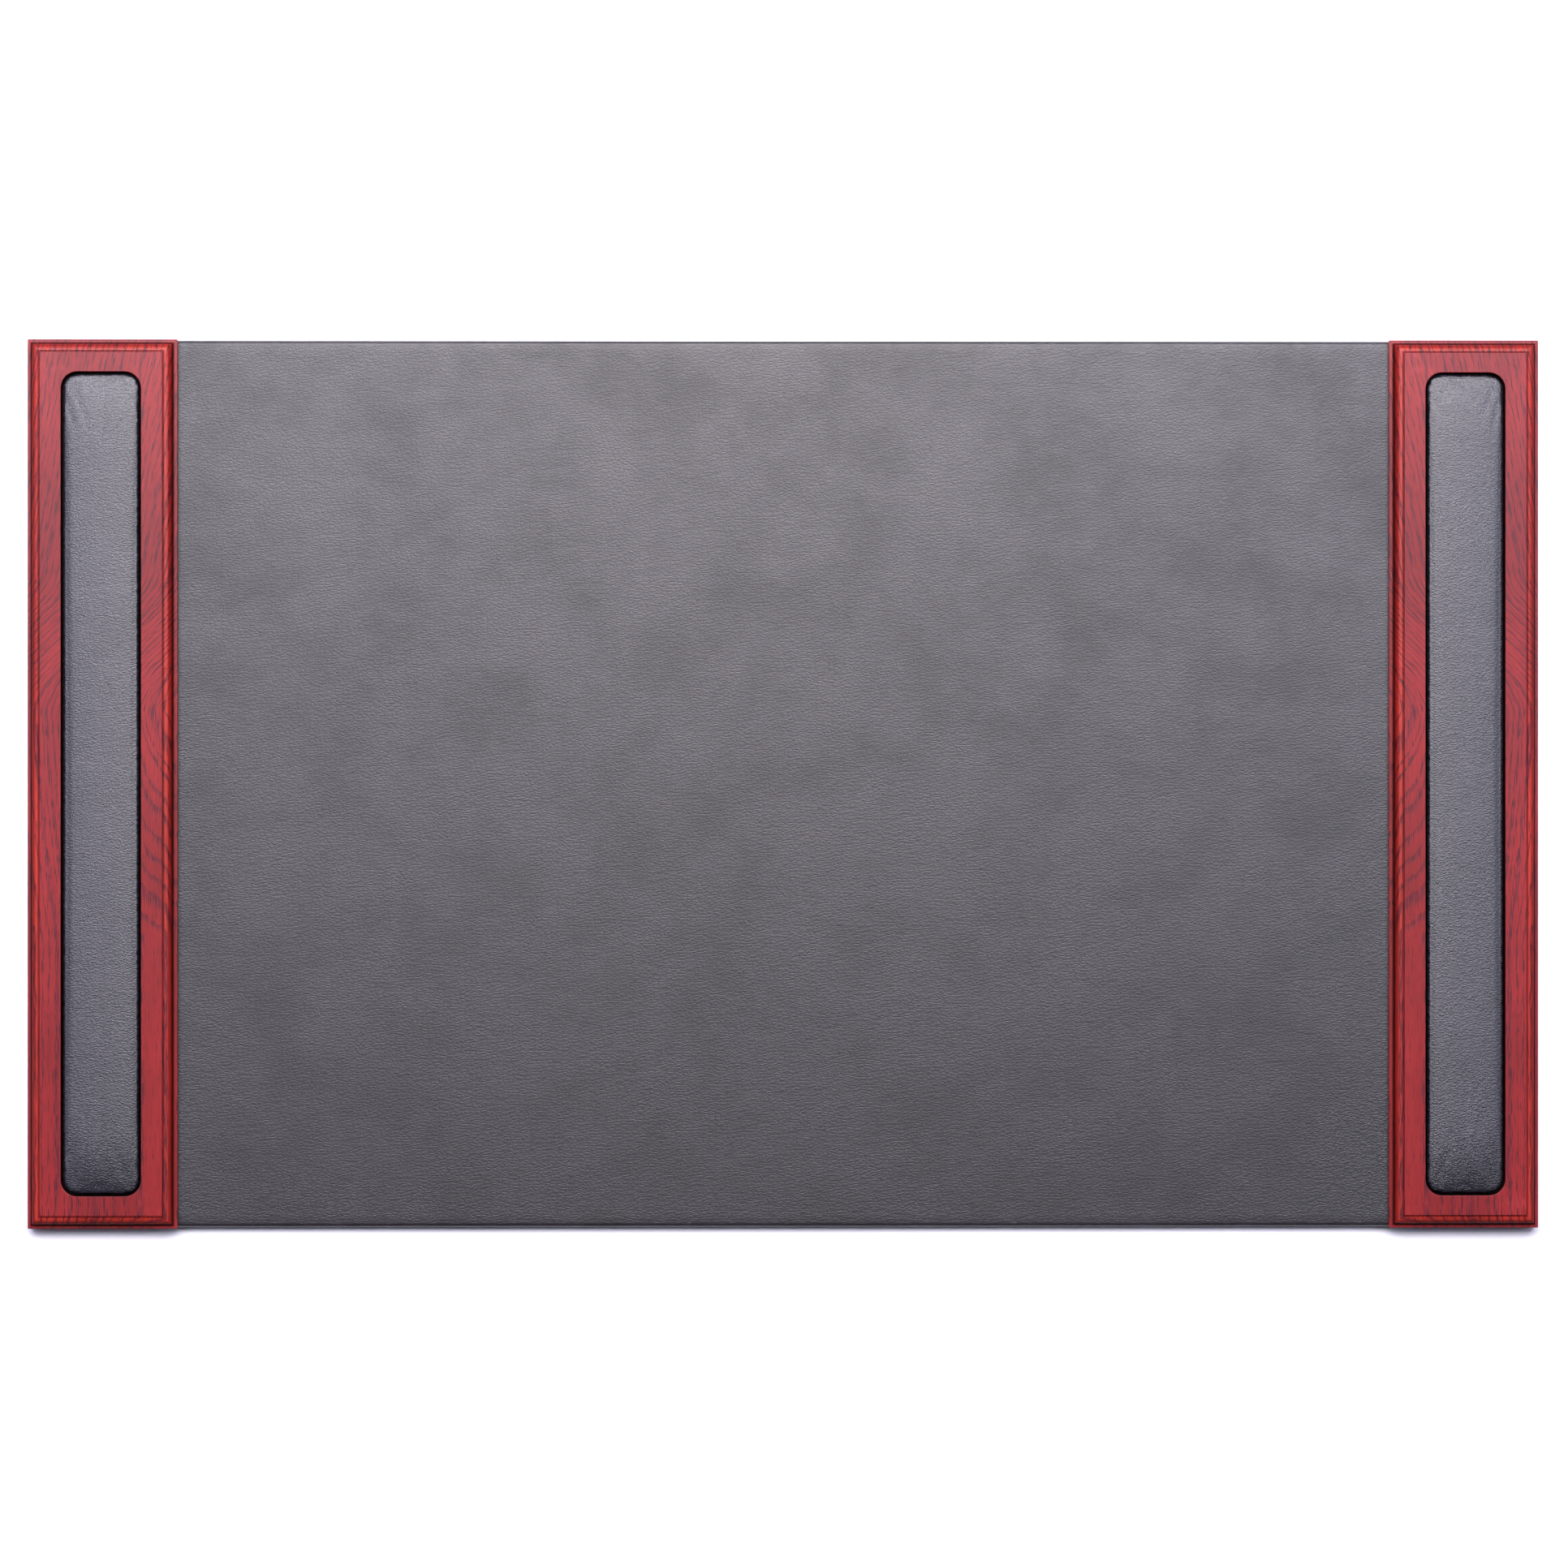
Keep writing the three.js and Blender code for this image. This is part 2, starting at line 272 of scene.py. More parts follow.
def add_node(tree, kind, inputs=None, **settings):
    node = tree.nodes.new(kind)
    for name, value in settings.items():
        setattr(node, name, value)
    for key, value in (inputs or {}).items():
        if isinstance(value, bpy.types.NodeSocket):
            tree.links.new(value, node.inputs[key])
        else:
            node.inputs[key].default_value = value
    return node


def sum_of(tree, operation, a, b=0.0, c=0.0):
    """The result of one step of arithmetic on values or sockets."""
    return add_node(tree, "ShaderNodeMath", {0: a, 1: b, 2: c}, operation=operation).outputs[0]


def vector_sum(tree, operation, a, b):
    node = add_node(tree, "ShaderNodeVectorMath", {0: a, 1: b}, operation=operation)
    return node.outputs["Value" if operation == "LENGTH" else "Vector"]


def remap(tree, value, low, high, new_low=0.0, new_high=1.0, smooth=True):
    node = add_node(
        tree,
        "ShaderNodeMapRange",
        {
            "Value": value,
            "From Min": low,
            "From Max": high,
            "To Min": new_low,
            "To Max": new_high,
        },
        interpolation_type="SMOOTHSTEP" if smooth else "LINEAR",
    )
    return node.outputs["Result"]


def band(tree, value, lower, upper):
    """1 between two soft limits and 0 past them, each limit given from low to high."""
    above = remap(tree, value, *lower)
    return sum_of(tree, "MULTIPLY", above, remap(tree, value, *upper, 1.0, 0.0))


def blend_colours(tree, factor, a, b, kind="MIX"):
    node = tree.nodes.new("ShaderNodeMix")
    node.data_type = "RGBA"
    node.blend_type = kind
    for socket, value in ((node.inputs[0], factor), (node.inputs[6], a), (node.inputs[7], b)):
        if isinstance(value, bpy.types.NodeSocket):
            tree.links.new(value, socket)
        elif socket.type == "RGBA" and len(value) == 3:
            socket.default_value = (*value, 1)
        else:
            socket.default_value = value
    return node.outputs[2]


def tinted(tree, mask, ground, tint):
    """The ground colour, multiplied by a tint as far as the mask says."""
    return blend_colours(tree, mask, ground, blend_colours(tree, 1.0, ground, tint, "MULTIPLY"))


def noise_value(tree, vector, scale, detail=2.0, roughness=0.5, distortion=0.0):
    node = add_node(
        tree,
        "ShaderNodeTexNoise",
        {
            "Vector": vector,
            "Scale": scale,
            "Detail": detail,
            "Roughness": roughness,
            "Distortion": distortion,
        },
    )
    return node.outputs["Fac"]


def new_group(name, inputs, outputs, kind="ShaderNodeTree"):
    """An empty node group with named sockets: (name, socket type, default)."""
    group = bpy.data.node_groups.new(name, kind)
    for socket_name, socket_type, default in inputs:
        socket = group.interface.new_socket(
            name=socket_name, in_out="INPUT", socket_type=socket_type
        )
        if default is not None:
            socket.default_value = default
    for socket_name, socket_type in outputs:
        group.interface.new_socket(
            name=socket_name, in_out="OUTPUT", socket_type=socket_type
        )
    return group, group.nodes.new("NodeGroupInput"), group.nodes.new("NodeGroupOutput")


def fill_group(tree, group, inputs):
    return add_node(tree, "ShaderNodeGroup", inputs, node_tree=group)


def group_named(name, build):
    """The node group of that name, built the first time it's asked for."""
    return bpy.data.node_groups.get(name) or build(name)


# ---- Shader groups ----


def build_oak_figure(name):
    """Rings round a heart that dives under an arch, with pores in their open wood.

    Across is X, and the grain runs along Y. Above the arch the heart leans away from X.
    """
    group, given, result = new_group(
        name,
        [
            ("Vector", "NodeSocketVector", None),
            ("Ring Pitch", "NodeSocketFloat", 3.4),
            ("Heart Offset", "NodeSocketFloat", -37.0),
            ("Heart Depth", "NodeSocketFloat", 8.0),
            ("Arch Top", "NodeSocketFloat", 42.0),
            ("Arch Foot", "NodeSocketFloat", -85.0),
            ("Arch Fall", "NodeSocketFloat", 34.0),
            ("Lean", "NodeSocketFloat", -0.2),
            ("Shoulder", "NodeSocketFloat", -45.0),
            ("Warp", "NodeSocketFloat", 3.0),
            ("Pore Width", "NodeSocketFloat", 0.5),
            ("Pore Length", "NodeSocketFloat", 9.0),
        ],
        [
            ("Open Wood", "NodeSocketFloat"),
            ("Pores", "NodeSocketFloat"),
            ("Fibre", "NodeSocketFloat"),
            ("Cloud", "NodeSocketFloat"),
        ],
    )
    get = given.outputs
    where = get["Vector"]
    parts = add_node(group, "ShaderNodeSeparateXYZ", {0: where}).outputs
    along = vector_sum(group, "MULTIPLY", where, (1 / 24, 1 / 120, 1 / 24))
    slow = sum_of(group, "SUBTRACT", noise_value(group, along, 1.0, 2.0), 0.5)
    close = vector_sum(group, "MULTIPLY", where, (1 / 5, 1 / 26, 1 / 5))
    quick = sum_of(group, "SUBTRACT", noise_value(group, close, 1.0, 2.0), 0.5)
    warp = sum_of(group, "MULTIPLY", slow, get["Warp"])
    warp = sum_of(group, "MULTIPLY_ADD", quick, 1.3, warp)
    above = sum_of(group, "SUBTRACT", parts["Y"], get["Arch Top"])
    climbed = sum_of(group, "MAXIMUM", above, 0.0)
    far_above = remap(group, above, 0.0, 80.0)
    heart = sum_of(group, "MULTIPLY_ADD", climbed, get["Lean"], get["Heart Offset"])
    heart = sum_of(group, "MULTIPLY_ADD", far_above, get["Shoulder"], heart)
    across = sum_of(group, "SUBTRACT", parts["X"], heart)
    fallen = remap(group, parts["Y"], get["Arch Top"], get["Arch Foot"], smooth=False)
    depth = sum_of(group, "MULTIPLY_ADD", fallen, get["Arch Fall"], get["Heart Depth"])
    depth = sum_of(group, "MULTIPLY_ADD", parts["Z"], 1.0, depth)
    bent = sum_of(group, "ADD", across, warp)
    square = sum_of(group, "MULTIPLY", bent, bent)
    radius = sum_of(group, "SQRT", sum_of(group, "MULTIPLY_ADD", depth, depth, square))
    years = noise_value(group, sum_of(group, "MULTIPLY", radius, 0.12), 1.0, 1.0)
    turn = sum_of(group, "DIVIDE", radius, get["Ring Pitch"])
    turn = sum_of(group, "MULTIPLY_ADD", years, 2.2, turn)
    ring = sum_of(group, "FRACT", sum_of(group, "MULTIPLY_ADD", quick, 0.5, turn))
    opening = remap(group, ring, 0.0, 0.08)
    closing = remap(group, ring, 0.22, 0.5, 1.0, 0.0)
    open_wood = sum_of(group, "MULTIPLY", opening, closing)
    thin = sum_of(group, "DIVIDE", 1.0, get["Pore Width"])
    long = sum_of(group, "DIVIDE", 1.0, get["Pore Length"])
    fibre = add_node(
        group,
        "ShaderNodeCombineXYZ",
        {
            0: sum_of(group, "MULTIPLY", across, thin),
            1: sum_of(group, "MULTIPLY", parts["Y"], long),
            2: sum_of(group, "MULTIPLY", parts["Z"], thin),
        },
    ).outputs[0]
    streak = noise_value(group, fibre, 1.0, 1.0)
    wide = remap(group, open_wood, 0.0, 1.0, 0.63, 0.46, smooth=False)
    pore = remap(group, sum_of(group, "SUBTRACT", streak, wide), -0.015, 0.1)
    hair = vector_sum(group, "MULTIPLY", fibre, (1.6, 0.5, 1.6))
    hair = noise_value(group, hair, 1.0, 3.0, 0.65)
    cloud_at = vector_sum(group, "MULTIPLY", where, (1 / 26, 1 / 95, 1 / 26))
    links = group.links
    links.new(open_wood, result.inputs["Open Wood"])
    links.new(pore, result.inputs["Pores"])
    links.new(hair, result.inputs["Fibre"])
    links.new(noise_value(group, cloud_at, 1.0, 3.0), result.inputs["Cloud"])
    return group


def build_leather_grain(name):
    """Pebbles between fine creases, and the slow mottling of dyed leather."""
    group, given, result = new_group(
        name,
        [
            ("Vector", "NodeSocketVector", None),
            ("Pebble", "NodeSocketFloat", 1.1),
            ("Mottle Size", "NodeSocketFloat", 70.0),
        ],
        [
            ("Height", "NodeSocketFloat"),
            ("Creases", "NodeSocketFloat"),
            ("Mottle", "NodeSocketFloat"),
        ],
    )
    where = given.outputs["Vector"]
    leaning = vector_sum(group, "MULTIPLY", where, (0.55, 1.0, 1.0))
    scale = sum_of(group, "DIVIDE", 1.0, given.outputs["Pebble"])
    bend = add_node(
        group, "ShaderNodeTexNoise", {"Vector": leaning, "Scale": scale, "Detail": 2.0}
    ).outputs["Color"]
    bend = vector_sum(group, "SUBTRACT", bend, (0.5, 0.5, 0.5))
    bend = vector_sum(group, "MULTIPLY", bend, (0.8, 0.8, 0.8))
    warped = vector_sum(group, "ADD", leaning, bend)
    pebbles = add_node(
        group,
        "ShaderNodeTexVoronoi",
        {"Vector": warped, "Scale": scale, "Randomness": 1.0},
        feature="DISTANCE_TO_EDGE",
    ).outputs["Distance"]
    crease = remap(group, pebbles, 0.0, 0.22, 1.0, 0.0)
    fine = noise_value(group, warped, 2.2, 4.0, 0.62)
    height = sum_of(group, "MULTIPLY_ADD", crease, -0.32, fine)
    broad = sum_of(group, "DIVIDE", 1.0, given.outputs["Mottle Size"])
    stretched = vector_sum(group, "MULTIPLY", where, (0.8, 1.0, 1.0))
    clouds = noise_value(group, stretched, broad, 9.0, 0.72)
    links = group.links
    links.new(height, result.inputs["Height"])
    links.new(crease, result.inputs["Creases"])
    links.new(clouds, result.inputs["Mottle"])
    return group


def build_edge_wear_and_highlight(name):
    """The sharper edges, broken up by noise: where handling has thinned the finish, and where a
    painted highlight runs along the arrises.
    """
    group, given, result = new_group(
        name,
        [
            ("Vector", "NodeSocketVector", None),
            ("Low", "NodeSocketFloat", 0.53),
            ("High", "NodeSocketFloat", 0.62),
            ("Patch Size", "NodeSocketFloat", 9.0),
        ],
        [("Wear", "NodeSocketFloat")],
    )
    sharp = add_node(group, "ShaderNodeNewGeometry").outputs["Pointiness"]
    edge = remap(group, sharp, given.outputs["Low"], given.outputs["High"], smooth=False)
    scale = sum_of(group, "DIVIDE", 1.0, given.outputs["Patch Size"])
    patch = remap(group, noise_value(group, given.outputs["Vector"], scale, 4.0), 0.4, 0.65)
    group.links.new(sum_of(group, "MULTIPLY", edge, patch), result.inputs["Wear"])
    return group


def build_fibres(name):
    """Tangled short fibres, as in felt or pressed board."""
    group, given, result = new_group(
        name,
        [
            ("Vector", "NodeSocketVector", None),
            ("Fibre", "NodeSocketFloat", 0.5),
            ("Patch Size", "NodeSocketFloat", 14.0),
        ],
        [("Height", "NodeSocketFloat"), ("Fleck", "NodeSocketFloat"), ("Patch", "NodeSocketFloat")],
    )
    where = given.outputs["Vector"]
    scale = sum_of(group, "DIVIDE", 1.0, given.outputs["Fibre"])
    tangle = noise_value(group, where, scale, 4.0, 0.7, 2.5)
    crossing = noise_value(
        group, vector_sum(group, "MULTIPLY", where, (0.3, 1.6, 1.0)), scale, 3.0, 0.6, 3.0
    )
    height = sum_of(group, "MULTIPLY", sum_of(group, "ADD", tangle, crossing), 0.5)
    patches = sum_of(group, "DIVIDE", 1.0, given.outputs["Patch Size"])
    links = group.links
    links.new(height, result.inputs["Height"])
    links.new(remap(group, crossing, 0.52, 0.7), result.inputs["Fleck"])
    links.new(noise_value(group, where, patches, 3.0), result.inputs["Patch"])
    return group


def build_handling(name):
    """Faint smears and dust, as a number to add to a roughness."""
    group, given, result = new_group(
        name,
        [
            ("Vector", "NodeSocketVector", None),
            ("Smear Size", "NodeSocketFloat", 45.0),
            ("Strength", "NodeSocketFloat", 0.08),
        ],
        [("Roughness", "NodeSocketFloat")],
    )
    where = given.outputs["Vector"]
    scale = sum_of(group, "DIVIDE", 1.0, given.outputs["Smear Size"])
    smear = noise_value(group, where, scale, 5.0, 0.6, 0.8)
    dust = remap(group, noise_value(group, where, 0.6, 2.0), 0.6, 0.75)
    both = sum_of(group, "MULTIPLY_ADD", dust, 0.3, sum_of(group, "SUBTRACT", smear, 0.5))
    scaled = sum_of(group, "MULTIPLY", both, given.outputs["Strength"])
    group.links.new(scaled, result.inputs["Roughness"])
    return group


# ---- Materials ----


def new_material(name):
    """An empty material, with its Principled shader and its place in millimetres."""
    material = bpy.data.materials.new(name)
    material.use_nodes = True
    tree = material.node_tree
    shader = tree.nodes["Principled BSDF"]
    place = tree.nodes.new("ShaderNodeTexCoord").outputs["Object"]
    return material, tree, shader, vector_sum(tree, "MULTIPLY", place, (1000, 1000, 1000))


def raise_bumps(tree, shader, height, distance, strength=1.0):
    bump = add_node(tree, "ShaderNodeBump", {"Height": height, "Strength": strength})
    bump.inputs["Distance"].default_value = distance
    tree.links.new(bump.outputs["Normal"], shader.inputs["Normal"])


def roughen(tree, shader, base, where, extra=None, strength=0.08):
    """Roughness of a base value, plus handling and whatever else is given."""
    handling = fill_group(
        tree, group_named("Handling", build_handling), {"Vector": where, "Strength": strength}
    )
    value = sum_of(tree, "ADD", handling.outputs["Roughness"], base)
    if extra is not None:
        value = sum_of(tree, "ADD", value, extra)
    tree.links.new(value, shader.inputs["Roughness"])


def make_stained_oak(settings):
    """Red stain and satin lacquer over oak, alike but mirrored on the two rails."""
    material, tree, shader, where = new_material("stained_oak")
    rail_low, rail_high = (Vector(c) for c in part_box("right_rail"))
    middle = (rail_low.x + rail_high.x) / 2 / MM
    top = rail_high.z / MM
    parts = add_node(tree, "ShaderNodeSeparateXYZ", {0: where}).outputs
    outward = sum_of(tree, "SUBTRACT", sum_of(tree, "ABSOLUTE", parts["X"]), middle)
    below = sum_of(tree, "SUBTRACT", parts["Z"], top)
    board = add_node(tree, "ShaderNodeCombineXYZ", {0: outward, 1: parts["Y"], 2: below})
    board = board.outputs[0]
    figure = fill_group(tree, group_named("Oak Figure", build_oak_figure), {"Vector": board})
    edge_wear_and_highlight = fill_group(tree, group_named("Edge Wear", build_edge_wear_and_highlight), {"Vector": board})
    quirk = settings.quirk / MM
    pocket_x, pocket_y = settings.pocket_width / 2 / MM, settings.pocket_length / 2 / MM
    swell_foot = -quirk - settings.round_radius / MM
    cove_foot = swell_foot - settings.cove_radius / MM
    above_ledge = (cove_foot - 0.05, cove_foot + 0.25)
    on_moulding = band(tree, below, (cove_foot, cove_foot + 0.3), (-quirk - 0.1, -quirk + 0.1))
    # Painted shade down the moulding's lower side, from the ledge to below the quirk.
    in_shade = band(tree, below, above_ledge, (-quirk - 1.3, -quirk - 0.35))
    # Painted shade, deepest at the moulding's foot in the corner by the ledge.
    shade_at_foot = band(tree, below, above_ledge, (swell_foot + 0.4, swell_foot + 2.6))
    # A painted shadow line in the quirk under the flat top.
    shadow_in_quirk = band(tree, below, (-quirk - 0.1, -quirk - 0.02), (-0.25, -0.1))
    open_wood = sum_of(tree, "MULTIPLY", figure.outputs["Open Wood"], 0.6)
    # Warmer, lighter stain over the moulding: deeper colour, with a painted highlight on the round.
    ground = blend_colours(tree, on_moulding, settings.stain, settings.moulding_stain_and_highlight)
    plain = blend_colours(tree, open_wood, ground, settings.streak)
    cloud = remap(tree, figure.outputs["Cloud"], 0.3, 0.7, 0.8, 1.12)
    fibre = remap(tree, figure.outputs["Fibre"], 0.3, 0.7, 0.76, 1.18)
    toned = sum_of(tree, "MULTIPLY", cloud, fibre)
    clouded = blend_colours(tree, 1.0, plain, toned, "MULTIPLY")
    pores = sum_of(tree, "MULTIPLY", figure.outputs["Pores"], 0.88)
    stained = blend_colours(tree, pores, clouded, settings.pore)
    # Painted shade over the stain: in the hollow, at the foot by the ledge, and a shadow line in the
    # quirk.
    stained = tinted(tree, in_shade, stained, (0.62, 0.4, 0.45))
    stained = tinted(tree, shade_at_foot, stained, (0.3, 0.25, 0.25))
    stained = tinted(tree, shadow_in_quirk, stained, (0.55, 0.4, 0.4))
    # Near-black on the pocket's walls and floor: dark stain, with painted shade in the recess.
    floor = -settings.pocket_depth / MM
    pocket_stain_and_shade = band(tree, below, (floor - 0.5, floor - 0.1), (-0.6, -0.1))
    for place, half in ((outward, pocket_x), (parts["Y"], pocket_y)):
        within = remap(tree, sum_of(tree, "ABSOLUTE", place), half + 0.1, half + 0.2, 1.0, 0.0)
        pocket_stain_and_shade = sum_of(tree, "MULTIPLY", pocket_stain_and_shade, within)
    stained = blend_colours(tree, pocket_stain_and_shade, stained, (0.012, 0.004, 0.004))
    # Lighter on the sharper edges: wear, with a painted highlight along the arrises.
    stained = tinted(tree, edge_wear_and_highlight.outputs["Wear"], stained, (1.25, 1.5, 1.4))
    tree.links.new(stained, shader.inputs["Base Color"])
    roughen(tree, shader, 0.46, where, sum_of(tree, "MULTIPLY", in_shade, 0.2))
    shader.inputs["Specular IOR Level"].default_value = 0.08
    dull = sum_of(tree, "MAXIMUM", sum_of(tree, "MAXIMUM", in_shade, shadow_in_quirk), pocket_stain_and_shade)
    lacquer = remap(tree, dull, 0.0, 1.0, 0.34, 0.01)
    tree.links.new(lacquer, shader.inputs["Coat Weight"])
    shader.inputs["Coat Roughness"].default_value = 0.36
    grain = sum_of(tree, "MULTIPLY", figure.outputs["Open Wood"], -0.25)
    grain = sum_of(tree, "SUBTRACT", grain, figure.outputs["Pores"])
    grain = sum_of(tree, "MULTIPLY_ADD", figure.outputs["Fibre"], 0.5, grain)
    raise_bumps(tree, shader, grain, 0.1 * MM, 0.7)
    return material


def make_leather(name, dye, pebble, mottle_size, mottle_depth, roughness, nap, shine, emboss):
    """Dyed, lightly pebbled leather."""
    material, tree, shader, where = new_material(name)
    grain = fill_group(
        tree,
        group_named("Leather Grain", build_leather_grain),
        {"Vector": where, "Pebble": pebble, "Mottle Size": mottle_size},
    )
    mottle = remap(tree, grain.outputs["Mottle"], 0.34, 0.6, 1 - mottle_depth, 1 + mottle_depth / 2)
    dyed = blend_colours(tree, 1.0, dye, mottle, "MULTIPLY")
    # Darker in the creases between the pebbles: painted shade.
    depth = sum_of(tree, "MULTIPLY", grain.outputs["Creases"], 0.5)
    shaded_creases = tinted(tree, depth, dyed, (0.55, 0.55, 0.55))
    tree.links.new(shaded_creases, shader.inputs["Base Color"])
    patchy = remap(tree, grain.outputs["Mottle"], 0.32, 0.62, nap, -nap / 2, smooth=False)
    roughen(tree, shader, roughness, where, patchy)
    shader.inputs["Specular IOR Level"].default_value = shine
    raise_bumps(tree, shader, grain.outputs["Height"], emboss, 0.8)
    return material


def make_felt(settings):
    material, tree, shader, where = new_material("felt")
    fibres = fill_group(tree, group_named("Fibres", build_fibres), {"Vector": where, "Fibre": 0.45})
    light = tuple(min(1, 2.6 * c + 0.01) for c in settings.felt)
    flecked = blend_colours(tree, fibres.outputs["Fleck"], settings.felt, light)
    patch = remap(tree, fibres.outputs["Patch"], 0.3, 0.7, 0.8, 1.2)
    tree.links.new(
        blend_colours(tree, 1.0, flecked, patch, "MULTIPLY"), shader.inputs["Base Color"]
    )
    shader.inputs["Roughness"].default_value = 0.95
    shader.inputs["Specular IOR Level"].default_value = 0.2
    shader.inputs["Sheen Weight"].default_value = 0.35
    shader.inputs["Sheen Roughness"].default_value = 0.5
    raise_bumps(tree, shader, fibres.outputs["Height"], 0.25 * MM, 0.8)
    return material


def make_hardboard():
    material, tree, shader, where = new_material("hardboard")
    fibres = fill_group(
        tree,
        group_named("Fibres", build_fibres),
        {"Vector": where, "Fibre": 0.9, "Patch Size": 40.0},
    )
    brown = blend_colours(tree, fibres.outputs["Fleck"], (0.17, 0.085, 0.04), (0.3, 0.17, 0.085))
    patch = remap(tree, fibres.outputs["Patch"], 0.3, 0.7, 0.75, 1.15)
    tree.links.new(blend_colours(tree, 1.0, brown, patch, "MULTIPLY"), shader.inputs["Base Color"])
    roughen(tree, shader, 0.7, where)
    raise_bumps(tree, shader, fibres.outputs["Height"], 0.05 * MM, 0.6)
    return material


def make_foam():
    material, tree, shader, where = new_material("foam")
    cells = add_node(tree, "ShaderNodeTexVoronoi", {"Vector": where, "Scale": 1.6})
    cell = remap(tree, cells.outputs["Distance"], 0.0, 0.6)
    cream = blend_colours(tree, cell, (0.36, 0.31, 0.2), (0.66, 0.6, 0.45))
    tree.links.new(cream, shader.inputs["Base Color"])
    shader.inputs["Roughness"].default_value = 0.95
    raise_bumps(tree, shader, cell, 0.2 * MM, 0.8)
    return material


def make_zinc():
    material, tree, shader, where = new_material("zinc_steel")
    fibres = fill_group(
        tree,
        group_named("Fibres", build_fibres),
        {"Vector": where, "Fibre": 0.7, "Patch Size": 5.0},
    )
    edge_wear_and_highlight = fill_group(
        tree, group_named("Edge Wear", build_edge_wear_and_highlight), {"Vector": where, "Patch Size": 1.5}
    )
    plate = blend_colours(
        tree, fibres.outputs["Patch"], (0.5, 0.5, 0.47), (0.68, 0.7, 0.74)
    )
    bright = blend_colours(tree, edge_wear_and_highlight.outputs["Wear"], plate, (0.82, 0.82, 0.84))
    tree.links.new(bright, shader.inputs["Base Color"])
    shader.inputs["Metallic"].default_value = 1
    roughen(tree, shader, 0.3, where)
    raise_bumps(tree, shader, fibres.outputs["Height"], 0.02 * MM, 0.4)
    return material


def make_floor(settings):
    material, tree, shader, where = new_material("floor")
    paper = remap(tree, noise_value(tree, where, 0.01, 2.0), 0.3, 0.7, 0.97, 1.0)
    tree.links.new(
        blend_colours(tree, 1.0, settings.floor, paper, "MULTIPLY"), shader.inputs["Base Color"]
    )
    shader.inputs["Roughness"].default_value = 0.9
    shader.inputs["Specular IOR Level"].default_value = 0.1
    return material


# ---- Side rails ----


LONG_STEPS = 44
SHORT_STEPS = 6
CORNER_STEPS = 12
CORNER_ARC_STEPS = 4
HOLE_SIDES = 20


def straight_stations(settings):
    """Half the straight part of the pocket's outline, across and along."""
    return (
        settings.pocket_width / 2 - settings.pocket_radius,
        settings.pocket_length / 2 - settings.pocket_radius,
    )


def square_corner(half_x, half_y, stations, rounding):
    """The first quadrant of a rectangle with a small rounding, from its right side on."""
    cx, cy = stations
    run = (CORNER_STEPS - CORNER_ARC_STEPS) // 2
    corner = [(half_x, cy + (half_y - rounding - cy) * i / run) for i in range(run)]
    corner += arc((half_x - rounding, half_y - rounding), rounding, 0, 90, CORNER_ARC_STEPS)
    corner += [
        (half_x - rounding + (cx - half_x + rounding) * i / run, half_y)
        for i in range(1, run + 1)
    ]
    return corner


def round_corner(half_x, half_y, radius):
    return arc((half_x - radius, half_y - radius), radius, 0, 90, CORNER_STEPS)


def ring_from(corner, height, centre_x):
    """A whole ring from its first quadrant, anticlockwise from above, straight runs divided."""
    quadrants = [
        corner,
        [(-x, y) for x, y in reversed(corner)],
        [(-x, -y) for x, y in corner],
        [(x, -y) for x, y in reversed(corner)],
    ]
    steps = [SHORT_STEPS, LONG_STEPS, SHORT_STEPS, LONG_STEPS]
    ring = []
    for quadrant, following, count in zip(
        quadrants, quadrants[1:] + quadrants[:1], steps, strict=True
    ):
        ring += quadrant
        (x0, y0), (x1, y1) = quadrant[-1], following[0]
        ring += [
            (x0 + (x1 - x0) * i / count, y0 + (y1 - y0) * i / count) for i in range(1, count)
        ]
    return [Vector((centre_x + x, y, height)) for x, y in ring]


def moulding_section(settings, bottom, top):
    """The moulded edge as (distance in from the edge, height), from the bottom to the flat top."""
    ease = settings.easing
    quirk = settings.quirk
    hold = ease / 2
    foot = top - quirk - settings.round_radius - settings.cove_radius
    cove_edge = settings.ledge_width
    round_edge = cove_edge + settings.cove_radius
    flat_edge = round_edge + settings.round_radius
    quirk_top = flat_edge + quirk
    section = [(ease + hold, bottom)]
    section += arc((ease, bottom + ease), ease, 270, 180, 3)
    section += [(0, bottom + ease + hold), (0, foot - ease - hold)]
    section += arc((ease, foot - ease), ease, 180, 90, 3)
    section += [(ease + hold, foot), (cove_edge - hold, foot)]
    section += arc((cove_edge, foot + settings.cove_radius), settings.cove_radius, 270, 360, 10)
    section += arc((flat_edge, foot + settings.cove_radius), settings.round_radius, 180, 90, 10)[1:]
    section += [(flat_edge + quirk / 2, top - quirk)]
    section += arc((quirk_top, top - hold), hold, 180, 90, 2)
    section += [(quirk_top + hold, top)]
    return section


